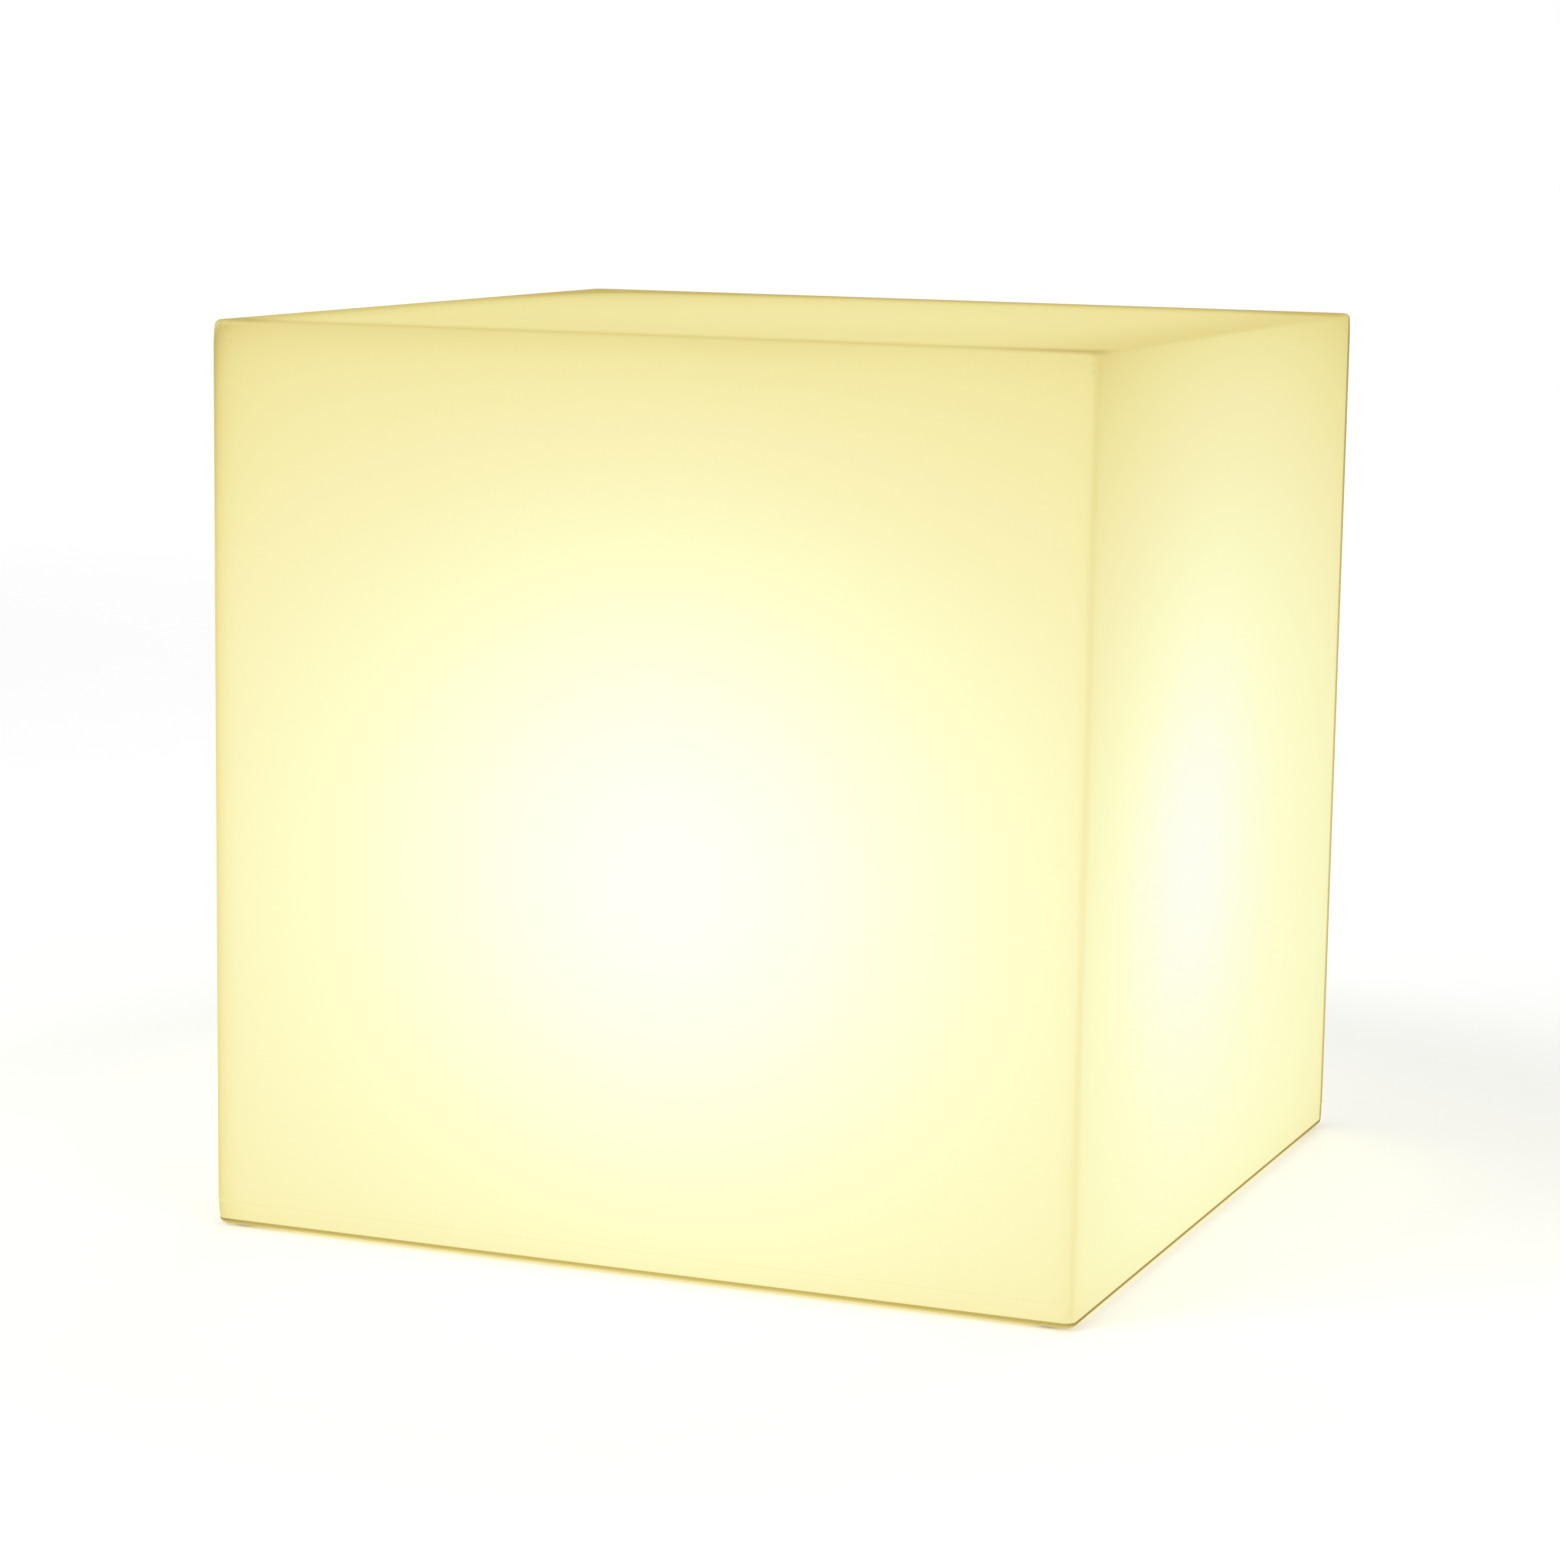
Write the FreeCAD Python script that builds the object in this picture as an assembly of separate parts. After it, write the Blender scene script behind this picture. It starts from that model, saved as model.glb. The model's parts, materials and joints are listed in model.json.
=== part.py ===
"""Outdoor cube light: a seamless translucent cube over a twist-lock lamp unit with a screw-in LED bulb.

Millimetres. The origin is at the middle of the underside of the feet, +Z is up and +Y is the rear,
where the cord leaves. The lamp unit hangs in a round hole of the recessed base: a fixed bayonet
ring holds a turning bell, which carries the lampholder, the wiring chamber and the cord gland.
"""

import FreeCAD, Part
import math
import os

Vec = FreeCAD.Vector
UP = Vec(0, 0, 1)
ORIGIN = Vec(0, 0, 0)

# Cube shell: moulded in one piece, thicker along its edges because the inner corners are rounder
cube_side = 400.0
cube_height = 400.0
wall = 4.0
edge_radius = 5.0
inner_edge_radius = 9.0
parting_height = 10.6        # mould parting line above the shell's underside
parting_step = 0.3           # the mould's base half is this much smaller
rim_width = 24.0             # hollow standing rim round the base recess
recess_depth = 16.0
recess_corner = 16.0
recess_draft = 1.2           # how far the recess walls lean in over their height
rim_bevel = 2.0              # round the mouth of the recess
base_hole_radius = 64.0
notch_width = 10.0           # way out for the cord through the rear rim
notch_height = 9.5

# Feet
foot_radius = 8.0
foot_thickness = 3.0
foot_proud = 1.0
foot_edge = 0.6

# Fixings of the bayonet ring
ring_screw_count = 6
ring_screw_first = 30.0      # angle of the first screw
ring_screw_radius = 2.0
ring_screw_length = 12.0
ring_screw_head_radius = 4.0
ring_screw_head_height = 2.2
insert_radius = 3.0
insert_length = 8.0
insert_sink = 0.5            # below the panel's underside
boss_radius = 6.0
boss_height = 8.0            # above the base panel

# Bayonet ring
ring_gasket_thickness = 1.0
ring_flange_width = 15.0     # beyond the base hole
ring_flange_thickness = 3.0
ring_edge = 1.0              # bevel
collar_wall = 3.5
lip_width = 4.0
lip_thickness = 3.0
lug_count = 3
lug_angle = 22.0
lug_thickness = 3.0
lock_turn = 40.0             # from locked to free
stop_angle = 5.0
stop_play = 1.0              # degrees left before a lug meets a stop

# Lamp carrier: flange, bell and turret
flange_inset = 4.0           # the turning flange inside the ring's
carrier_flange_thickness = 3.0
carrier_edge = 1.0           # bevel
carrier_wall = 3.0
shoulder_rise = 18.0         # straight part of the bell above its flange
shoulder_bevel = 5.0
turret_height = 45.0         # lampholder seat above the base panel's underside
turret_radius = 29.0
turret_bevel = 2.0
seal_offset = 2.0            # seal's middle outside the base hole
seal_width = 4.0
seal_groove_depth = 1.5
grip_count = 3
grip_first = 30.0            # angle of the first grip
grip_inset = 4.0             # from the flange's edge
grip_width = 13.0
grip_angle = 40.0
grip_height = 5.0
grip_scallop_radius = 3.5

# Wiring cover and its gasket, below the wiring chamber
cover_inset = 2.3            # the cover's underside above the flange's underside
cover_thickness = 3.0
cover_gasket_thickness = 1.5
ledge_width = 8.0
ledge_thickness = 3.0
cover_rib_angles = (0, 180, 220, 320)
cover_rib_length = 11.5
cover_rib_width = 2.0
cover_rib_height = 2.0
cover_screw_count = 4
cover_screw_first = 45.0     # angle of the first screw
cover_screw_radius = 1.5
cover_screw_length = 14.0
cover_screw_head_radius = 2.8
cover_screw_head_height = 2.0
post_radius = 4.2
post_height = 14.0

# Pocket in the cover for the gland
pocket_width = 30.0
pocket_wall = 2.5
pocket_headroom = 2.0        # above and below the gland
pocket_front = -22.5         # y of the wall that the gland goes through
pocket_roof_end = 2.0        # y where the roof starts to slope
pocket_margin = 4.0          # from the slope's outer end to the ledge
pocket_edge = 1.0            # inside radius of its corners

# Cord gland, metric 16
gland_thread_radius = 8.0
gland_across_flats = 20.0
locknut_across_flats = 22.0
locknut_thickness = 5.0
gland_washer_thickness = 1.5
gland_hex_length = 5.5
gland_thread_length = 11.0   # inside the wall's outer face
gland_neck_length = 7.0
gland_nut_length = 12.8
gland_neck_radius = 7.6
gland_bore_radius = 4.5
gland_mouth_radius = 4.4
gland_seal_outer_radius = 5.85
cord_radius = 3.75
gland_seal_length = 8.8
gland_seal_bevel = 1.0
gland_seat_depth = 1.5       # seal's seat below the hexagon's top
gland_slit_width = 1.0       # between the fingers round the seal
gland_slit_count = 6
gland_finger_root = 3.0
gland_nut_gap = 0.2          # nut above the hexagon
gland_dome_share = 0.45      # of the nut's length
gland_throat_length = 3.0    # cone in the nut that presses the fingers

# Two-pole terminal block under the turret's top
block_width = 20.0
block_depth = 17.0
block_height = 15.0
block_rear = -5.5            # y of the side where the leads go in
pole_spacing = 9.8
clamp_radius = 2.6
clamp_bore_radius = 1.5
terminal_screw_radius = 1.3
terminal_screw_length = 4.5
terminal_screw_inset = 4.5   # from the block's ends
terminal_hole_radius = 1.7
clamp_inset = 1.5            # clamps inside the block's ends
block_screw_radius = 1.5
block_screw_head_radius = 2.2
block_screw_sink = 3.0
block_waist_depth = 1.2
block_waist_inset = 5.0
block_waist_height = 9.0
block_rib_width = 4.0
block_rib_height = 9.0

# Leads
lead_radius = 1.1
lead_bend_radius = 4.0
lead_entry = 3.5             # how far each lead goes into its clamp
lead_top_gap = 1.0           # below the lampholder's web
lead_slot_margin = 1.2

# Lampholder for a 27 mm screw cap
holder_height = 52.0
holder_base_radius = 20.0
holder_mouth_radius = 18.4
holder_foot_height = 6.0
holder_foot_lip = 1.2
holder_cavity_radius = 13.5  # below the web, for the leads
holder_cavity_height = 8.0
holder_web = 3.0
holder_chamber_radius = 12.4 # above the web, for the contact springs
holder_chamber_height = 14.0
holder_shell_height = 23.0
holder_screw_offset = 16.8
holder_screw_radius = 1.5
holder_screw_length = 13.0
holder_mouth_clear = 1.5
holder_rib_count = 12        # grooves down the outside
holder_groove_radius = 0.9
holder_groove_depth = 0.55
shell_metal = 0.6
contact_metal = 0.6
contact_width = 4.0
contact_radius = 11.8        # outer face of the upright contact strips
contact_angle = 61.0         # of the live side, measured from +X
contact_tab = 6.0            # below the web
contact_upright = 3.5        # above the web, before the centre spring leans in

# Bulb: 60 mm globe form, 27 mm screw cap
cap_radius = 13.2
cap_metal = 0.4
cap_length = 21.0
cap_taper = 2.0              # bevel at the bottom of the cap
foot_cone = 4.2              # from the tip contact's face to the bottom of the cap
tip_radius = 4.8
tip_height = 1.2
globe_radius = 30.0
bulb_length = 110.0
globe_wall = 1.2
body_throat_radius = 14.3
body_waist_radius = 18.3
body_rim_radius = 25.9
body_wall = 1.6
body_length = 38.0           # from the cap to the rim of the globe
body_throat_length = 3.5
body_skirt = 1.0             # how far the body reaches down over the cap
collar_depth = 3.5           # globe's collar inside the body's rim
sink_metal = 1.2
sink_plate = 1.5
sink_clear = 4.0             # sink's lower end above the body's throat
led_board_bore = 2.0
led_board_radius = 20.8
led_board_thickness = 1.6
led_count = 14
led_circle = 15.0
led_size = (3.5, 2.8, 0.7)
driver_width = 18.0
driver_thickness = 1.6
driver_drop = 17.0           # how far the driver board reaches down into the cap
capacitor_radius = 4.0
capacitor_length = 14.0
capacitor_drop = 3.0         # above the driver board's lower end
bridge_size = (2.5, 6.0, 5.0)
bridge_rise = 4.0            # above the board's middle
choke_radius = 4.5
choke_length = 8.0

# Clearances
collar_gap = 0.5             # ring collar in the base hole
face_gap = 0.3               # turning flange under the ring
spigot_gap = 0.5             # bell inside the ring's lip
lug_gap = 0.3                # lugs above the lip
edge_gap = 0.3               # cover in the bell, gaskets in their seats
slip_gap = 0.05              # screws in bores, inserts, pins and pressed pieces
seal_gap = 0.05              # face seal under the ring
thread_gap = 0.08            # bulb cap in the lampholder's shell
contact_gap = 0.1            # bulb tip over its spring

# Levels, from the floor up
shell_bottom = foot_proud
shell_top = shell_bottom + cube_height
panel_under = shell_bottom + recess_depth
panel_top = panel_under + wall
ring_top = panel_under - ring_gasket_thickness
ring_under = ring_top - ring_flange_thickness
lip_top = panel_top + lip_thickness
flange_top = ring_under - face_gap
flange_under = flange_top - carrier_flange_thickness
shoulder_level = flange_top + shoulder_rise
cover_under = flange_under + cover_inset
cover_top = cover_under + cover_thickness
ledge_under = cover_top + cover_gasket_thickness
holder_seat = panel_under + turret_height
turret_ceiling = holder_seat - carrier_wall
web_under = holder_seat + holder_cavity_height
web_top = web_under + holder_web
shell_seat = web_top + holder_chamber_height
tip_level = shell_seat - 1.0
cap_bottom = tip_level + foot_cone
cap_top = cap_bottom + cap_length + cap_metal
bulb_top = tip_level + bulb_length
globe_centre = bulb_top - globe_radius
rim_level = cap_top + body_length
sink_top = rim_level - collar_depth
block_under = turret_ceiling - block_height
clamp_level = turret_ceiling - block_height / 2
gland_hex_top = gland_washer_thickness + gland_hex_length
gland_neck_top = gland_hex_top + gland_neck_length

# Radii that fit one inside the other
ring_flange_radius = base_hole_radius + ring_flange_width
ring_screw_circle = (base_hole_radius + ring_flange_radius) / 2
carrier_flange_radius = ring_flange_radius - flange_inset
grip_outer_radius = carrier_flange_radius - grip_inset
grip_inner_radius = grip_outer_radius - grip_width
seal_radius = base_hole_radius + seal_offset
collar_outer = base_hole_radius - collar_gap
collar_inner = collar_outer - collar_wall
lip_inner = collar_inner - lip_width
bell_outer = lip_inner - spigot_gap
bell_inner = bell_outer - carrier_wall
lug_outer = collar_inner - spigot_gap
cover_radius = bell_inner - edge_gap
ledge_inner_radius = bell_inner - ledge_width
pocket_end = ledge_inner_radius - pocket_wall - pocket_margin
cover_screw_circle = (ledge_inner_radius + bell_inner) / 2
holder_shell_inner = cap_radius + thread_gap
holder_shell_outer = holder_shell_inner + shell_metal
holder_seat_radius = holder_shell_outer + slip_gap
lead_circle = contact_radius - contact_metal - lead_radius - slip_gap
gland_level = cover_top + locknut_across_flats / 2 + 0.5
pocket_roof = gland_level + gland_across_flats / 2 + pocket_headroom
lip_gap_angle = lug_angle + 2 * stop_play
block_front = block_rear - block_depth
block_middle = block_rear - block_depth / 2


def profile_wire(start, moves):
    """Closed wire in the XZ plane from (r, z) points; a pair of points is an arc's middle and end."""
    edges = []
    here = Vec(start[0], 0, start[1])
    first = here
    for move in moves:
        if isinstance(move[0], tuple):
            middle, end = (Vec(p[0], 0, p[1]) for p in move)
            edges.append(Part.Arc(here, middle, end).toShape())
        else:
            end = Vec(move[0], 0, move[1])
            edges.append(Part.LineSegment(here, end).toShape())
        here = end
    edges.append(Part.LineSegment(here, first).toShape())
    return Part.Wire(edges)


def turned(start, *moves):
    """Solid of revolution about Z."""
    return Part.Face(profile_wire(start, moves)).revolve(ORIGIN, UP, 360)


def disc(radius, low, high, x=0.0, y=0.0):
    return Part.makeCylinder(radius, high - low, Vec(x, y, low), UP)


def washer(inner, outer, low, high, x=0.0, y=0.0):
    return disc(outer, low, high, x, y).cut(disc(inner, low, high, x, y))


def box(x0, x1, y0, y1, z0, z1):
    return Part.makeBox(x1 - x0, y1 - y0, z1 - z0, Vec(x0, y0, z0))


def at_angle(shape, degrees):
    copy = shape.copy()
    copy.rotate(ORIGIN, UP, degrees)
    return copy


def sector(inner, outer, low, high, middle, span):
    """Piece of a flat ring, centred on an angle."""
    block = Part.makeCylinder(outer, high - low, Vec(0, 0, low), UP, span)
    block = block.cut(disc(inner, low, high))
    return at_angle(block, middle - span / 2)


def polar(radius, degrees):
    angle = math.radians(degrees)
    return radius * math.cos(angle), radius * math.sin(angle)


def around(count, first=0.0):
    return [first + 360.0 / count * i for i in range(count)]


def rounded_square(half, corner, level):
    """Closed wire: a square with rounded corners."""
    edges = []
    straight = half - corner
    for quarter in range(4):
        turn = 90.0 * quarter
        side = Part.LineSegment(Vec(half, -straight, level), Vec(half, straight, level)).toShape()
        bend = Part.makeCircle(corner, Vec(straight, straight, level), UP, 0, 90)
        edges += [at_angle(side, turn), at_angle(bend, turn)]
    return Part.Wire(edges)


def drafted_block(straight, low_corner, high_corner, low, high):
    """Square block with leaning sides: flat walls between cones that stand at its four corners."""
    low_half = straight + low_corner
    high_half = straight + high_corner
    outline = [
        Vec(-low_half, -straight, low), Vec(low_half, -straight, low),
        Vec(high_half, -straight, high), Vec(-high_half, -straight, high)]
    slab = Part.Face(Part.makePolygon(outline + outline[:1])).extrude(Vec(0, 2 * straight, 0))
    cones = [
        Part.makeCone(low_corner, high_corner, high - low, Vec(sx * straight, sy * straight, low), UP)
        for sx in (-1, 1) for sy in (-1, 1)
    ]
    return slab.fuse([at_angle(slab, 90)] + cones).removeSplitter()


def rounded_block(half, low, high, radius):
    block = box(-half, half, -half, half, low, high)
    return block.makeFillet(radius, block.Edges)


def edges_at(shape, level, keep=lambda edge: True):
    """Edges that lie flat at a level."""
    found = []
    for edge in shape.Edges:
        bounds = edge.BoundBox
        if abs(bounds.ZMin - level) < 1e-4 and abs(bounds.ZMax - level) < 1e-4 and keep(edge):
            found.append(edge)
    return found


def hexagon(across_flats, low, high, bore=0.0):
    """Hexagonal prism with flats above and below the X axis and bevelled corners."""
    corner = across_flats / math.sqrt(3)
    points = [Vec(*polar(corner, angle), low) for angle in around(6)]
    prism = Part.Face(Part.makePolygon(points + points[:1])).extrude(Vec(0, 0, high - low))
    bevel = (corner - across_flats / 2) * 0.7
    round_off = turned(
        (0, low), (across_flats / 2, low), (corner, low + bevel), (corner, high - bevel),
        (across_flats / 2, high), (0, high))
    prism = prism.common(round_off)
    return prism.cut(disc(bore, low, high)) if bore else prism


def pan_screw(radius, length, head_radius, head_height, seat, x, y, socket=True):
    """Screw driven upwards: its head hangs below the seat, with a cross recess."""
    head = turned(
        (0, seat - head_height), (head_radius * 0.75, seat - head_height),
        (head_radius, seat - head_height * 0.5), (head_radius, seat), (0, seat))
    screw = head.fuse(disc(radius, seat, seat + length))
    if socket:
        slot = head_radius * 0.25
        reach = head_radius * 0.55
        bottom = seat - head_height
        depth = head_height * 0.5
        cross = box(-reach, reach, -slot / 2, slot / 2, bottom, bottom + depth)
        screw = screw.cut(cross.fuse(at_angle(cross, 90)))
    screw.translate(Vec(x, y, 0))
    return screw.removeSplitter()


def along_gland(shape):
    """Turn a piece built upwards so that it points to the rear through the pocket's front wall."""
    copy = shape.copy()
    copy.rotate(ORIGIN, Vec(1, 0, 0), -90)
    copy.translate(Vec(0, pocket_front, gland_level))
    return copy


# ---- Cube shell and what is fixed to it ----


def foot_places():
    middle = cube_side / 2 - rim_width / 2
    return [(sx * middle, sy * middle) for sx in (-1, 1) for sy in (-1, 1)]


def ring_screw_places():
    return [polar(ring_screw_circle, angle) for angle in around(ring_screw_count, ring_screw_first)]


def recess_block(grow):
    """The base recess, grown all round for the skin that forms it."""
    half = cube_side / 2 - rim_width + grow
    straight = half - recess_corner - grow
    low = shell_bottom - (0 if grow else 1)
    slope = recess_draft / recess_depth
    corner = recess_corner + grow + slope * (shell_bottom - low)
    lean = slope * (panel_under + grow - low)
    return drafted_block(straight, corner, corner - lean, low, panel_under + grow)


def notch_block(grow):
    """Arched way through the rear rim."""
    half = notch_width / 2 + grow
    crown = shell_bottom + notch_height + grow
    rear = cube_side / 2
    front = rear - rim_width - recess_draft - wall
    straight = box(-half, half, front, rear, shell_bottom, crown - half)
    arch = Part.makeCylinder(half, rear - front, Vec(0, front, crown - half), Vec(0, 1, 0))
    return straight.fuse(arch)


def cube_shell():
    half = cube_side / 2
    split = shell_bottom + parting_height
    outer = rounded_block(half, shell_bottom, shell_top, edge_radius)
    inset = rounded_square(half - parting_step, edge_radius - parting_step, shell_bottom)
    base = Part.Face(inset).extrude(Vec(0, 0, parting_height))
    around_base = box(-half - 1, half + 1, -half - 1, half + 1, shell_bottom, split).cut(base)
    outer = outer.cut(around_base)
    cavity = rounded_block(half - wall, shell_bottom + wall, shell_top - wall, inner_edge_radius)
    bosses = [
        disc(boss_radius, panel_under, panel_top + boss_height, x, y)
        for x, y in ring_screw_places()
    ]
    foot_skins = [
        disc(foot_radius + wall / 2, shell_bottom, shell_bottom + foot_thickness - foot_proud + wall, x, y)
        for x, y in foot_places()
    ]
    skin = recess_block(wall).fuse([notch_block(wall)] + bosses + foot_skins)
    shell = outer.cut(cavity.cut(skin))
    shell = shell.cut(recess_block(0))
    reach = half - rim_width + 1
    lip = edges_at(shell, shell_bottom, lambda e: max(abs(e.BoundBox.XMax), abs(e.BoundBox.XMin)) < reach
                   and max(abs(e.BoundBox.YMax), abs(e.BoundBox.YMin)) < reach)
    shell = shell.makeChamfer(rim_bevel, lip)
    holes = [notch_block(0), disc(base_hole_radius, panel_under - 1, panel_top + 1)]
    holes += [
        disc(insert_radius + slip_gap, panel_under - 1, panel_under + insert_length + 2 * insert_sink, x, y)
        for x, y in ring_screw_places()
    ]
    holes += [
        disc(foot_radius + slip_gap, shell_bottom - 1, shell_bottom + foot_thickness - foot_proud, x, y)
        for x, y in foot_places()
    ]
    return shell.cut(holes)


def rubber_feet():
    pad = turned(
        (0, 0), (foot_radius - foot_edge, 0), (foot_radius, foot_edge),
        (foot_radius, foot_thickness), (0, foot_thickness))
    feet = []
    for x, y in foot_places():
        foot = pad.copy()
        foot.translate(Vec(x, y, 0))
        feet.append(foot)
    return Part.makeCompound(feet)


def threaded_inserts():
    low = panel_under + insert_sink
    return Part.makeCompound([
        washer(ring_screw_radius + slip_gap, insert_radius, low, low + insert_length, x, y)
        for x, y in ring_screw_places()
    ])


def ring_screw(grow=0.0):
    """Countersunk screw at the origin, or the hole that it goes through."""
    low = ring_under
    neck = low + ring_screw_head_height
    return turned(
        (0, low), (ring_screw_head_radius + grow, low), (ring_screw_radius + grow, neck),
        (ring_screw_radius + grow, low + ring_screw_length), (0, low + ring_screw_length))


def ring_screws():
    slot = ring_screw_head_radius * 0.2
    reach = ring_screw_head_radius * 0.6
    cross = box(-reach, reach, -slot / 2, slot / 2, ring_under, ring_under + 1.2)
    screw = ring_screw().cut(cross.fuse(at_angle(cross, 90)))
    screws = []
    for x, y in ring_screw_places():
        copy = screw.copy()
        copy.translate(Vec(x, y, 0))
        screws.append(copy)
    return Part.makeCompound(screws)


def lug_middles():
    """Angles of the lugs when the unit is locked."""
    return around(lug_count, 90)


def bayonet_ring():
    body = turned(
        (collar_inner, ring_under), (ring_flange_radius - ring_edge, ring_under),
        (ring_flange_radius, ring_under + ring_edge), (ring_flange_radius, ring_top),
        (collar_outer, ring_top), (collar_outer, lip_top), (lip_inner, lip_top),
        (lip_inner, panel_top), (collar_inner, panel_top - lip_width / 2))
    gaps = [
        sector(lip_inner - 1, collar_inner, ring_under, lip_top, angle - lock_turn, lip_gap_angle)
        for angle in lug_middles()
    ]
    body = body.cut(gaps)
    top = lip_top + lug_gap + lug_thickness
    stops = []
    for angle in lug_middles():
        locked = angle + lug_angle / 2 + stop_play + stop_angle / 2
        free = angle - lock_turn - lug_angle / 2 - stop_play - stop_angle / 2
        stops += [
            sector(lip_inner, collar_outer, lip_top, top, middle, stop_angle)
            for middle in (locked, free)
        ]
    body = body.fuse(stops)
    hole = ring_screw(slip_gap)
    holes = []
    for x, y in ring_screw_places():
        copy = hole.copy()
        copy.translate(Vec(x, y, 0))
        holes.append(copy)
    return body.cut(holes).removeSplitter()


def ring_gasket():
    flat = washer(collar_outer + edge_gap, ring_flange_radius - edge_gap, ring_top, panel_under)
    holes = [
        disc(ring_screw_radius + edge_gap, ring_top, panel_under, x, y)
        for x, y in ring_screw_places()
    ]
    return flat.cut(holes)


# ---- Turning lamp unit ----


def bell_solid(inset, bottom, top):
    """The bell and turret filled in, or its hollow when inset by the wall."""
    side = bell_outer - inset
    crown = turret_radius - inset
    bevel = turret_bevel - inset * 0.4
    return turned(
        (0, bottom), (side, bottom), (side, shoulder_level - shoulder_bevel),
        (side - shoulder_bevel, shoulder_level - inset / 2), (crown, top - bevel),
        (crown - bevel, top), (0, top))


def cover_screw_places():
    return [polar(cover_screw_circle, angle) for angle in around(cover_screw_count, cover_screw_first)]


def holder_screw_places():
    return [(-holder_screw_offset, 0.0), (holder_screw_offset, 0.0)]


def lead_places():
    """Neutral on the left, live on the right."""
    x, y = polar(lead_circle, contact_angle)
    return [(-x, y), (x, y)]


def finger_grips():
    """Raised arcs on the flange's underside, scalloped on both sides for the fingers."""
    low = flange_under - grip_height
    grips = []
    for middle in around(grip_count, grip_first):
        grip = sector(grip_inner_radius, grip_outer_radius, low, flange_under, middle, grip_angle)
        scallops = []
        for share in (-0.25, 0.25):
            for radius in (grip_inner_radius, grip_outer_radius):
                x, y = polar(radius, middle + share * grip_angle)
                scallops.append(disc(grip_scallop_radius, low, flange_under, x, y))
        grips.append(grip.cut(scallops))
    return grips


def lead_slot():
    """Oval hole in the turret's top for both leads."""
    x, y = lead_places()[1]
    reach = lead_radius + lead_slot_margin
    low, high = turret_ceiling, holder_seat
    middle = box(-x, x, y - reach, y + reach, low, high)
    return middle.fuse([disc(reach, low, high, side, y) for side in (-x, x)])


def lamp_carrier():
    flange = turned(
        (0, flange_under), (carrier_flange_radius - carrier_edge, flange_under),
        (carrier_flange_radius, flange_under + carrier_edge), (carrier_flange_radius, flange_top),
        (0, flange_top))
    bell = bell_solid(0, flange_under, holder_seat)
    lugs = [
        sector(bell_outer - 1, lug_outer, lip_top + lug_gap, lip_top + lug_gap + lug_thickness,
               angle, lug_angle)
        for angle in lug_middles()
    ]
    solid = flange.fuse([bell] + lugs + finger_grips())
    hollow = bell_solid(carrier_wall, flange_under, turret_ceiling)
    ledge = washer(ledge_inner_radius, bell_inner + 1, ledge_under, ledge_under + ledge_thickness)
    posts = [
        disc(post_radius, ledge_under, ledge_under + post_height, x, y)
        for x, y in cover_screw_places()
    ]
    block_rib = box(-block_rib_width / 2, block_rib_width / 2, block_rear,
                    block_rear + block_rib_width, turret_ceiling - block_rib_height, turret_ceiling)
    solid = solid.cut(hollow.cut(ledge.fuse(posts + [block_rib])))
    groove = washer(seal_radius - seal_width / 2, seal_radius + seal_width / 2,
                    flange_top - seal_groove_depth, flange_top)
    bores = [
        disc(cover_screw_radius + slip_gap, ledge_under - 1,
             ledge_under + cover_screw_length - cover_thickness - cover_gasket_thickness + 1, x, y)
        for x, y in cover_screw_places()
    ]
    bores += [
        disc(holder_screw_radius + slip_gap, turret_ceiling - 1, holder_seat + 1, x, y)
        for x, y in holder_screw_places()
    ]
    bores.append(disc(block_screw_radius + slip_gap, turret_ceiling - 1, holder_seat + 1,
                      0, block_middle))
    return solid.cut([groove, lead_slot()] + bores).removeSplitter()


def carrier_seal():
    low = flange_top - seal_groove_depth
    side = seal_width / 2 - slip_gap
    top = ring_under - seal_gap
    middle = (low + top) / 2
    return turned(
        (seal_radius - side, low), (seal_radius + side, low), (seal_radius + side, middle),
        (seal_radius + side / 2, top), (seal_radius - side / 2, top), (seal_radius - side, middle))


def pocket_block(grow):
    """The gland pocket: upright front, flat roof, sloping end; grown by its wall."""
    half = pocket_width / 2 + grow
    front = pocket_front - grow
    roof = pocket_roof + grow
    points = [
        Vec(-half, front, cover_under), Vec(-half, front, roof),
        Vec(-half, pocket_roof_end + grow / 2, roof), Vec(-half, pocket_end + grow, cover_top),
        Vec(-half, pocket_end + grow, cover_under)]
    face = Part.Face(Part.makePolygon(points + points[:1]))
    block = face.extrude(Vec(2 * half, 0, 0))
    upright = [
        e for e in block.Edges
        if e.BoundBox.XLength < 1e-4 and e.BoundBox.YLength < 1e-4
        and abs(e.BoundBox.YMin - front) < 1e-4
    ]
    roof_sides = [
        e for e in block.Edges
        if e.BoundBox.XLength < 1e-4 and e.BoundBox.ZMax > cover_top + 1
        and e.BoundBox.YLength > 1
    ]
    return block.makeFillet(pocket_edge + grow, upright + roof_sides)


def wiring_cover():
    plate = disc(cover_radius, cover_under, cover_top)
    cover = plate.fuse(pocket_block(pocket_wall)).cut(pocket_block(0))
    holes = [
        disc(cover_screw_radius + slip_gap, cover_under, cover_top, x, y)
        for x, y in cover_screw_places()
    ]
    gland_hole = Part.makeCylinder(
        gland_thread_radius + slip_gap, pocket_wall + 2,
        Vec(0, pocket_front - pocket_wall - 1, gland_level), Vec(0, 1, 0))
    reach = ledge_inner_radius - slip_gap
    rib = box(reach - cover_rib_length, reach, -cover_rib_width / 2, cover_rib_width / 2,
              cover_top, cover_top + cover_rib_height)
    ribs = [at_angle(rib, angle) for angle in cover_rib_angles]
    return cover.cut(holes + [gland_hole]).fuse(ribs).removeSplitter()


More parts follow.
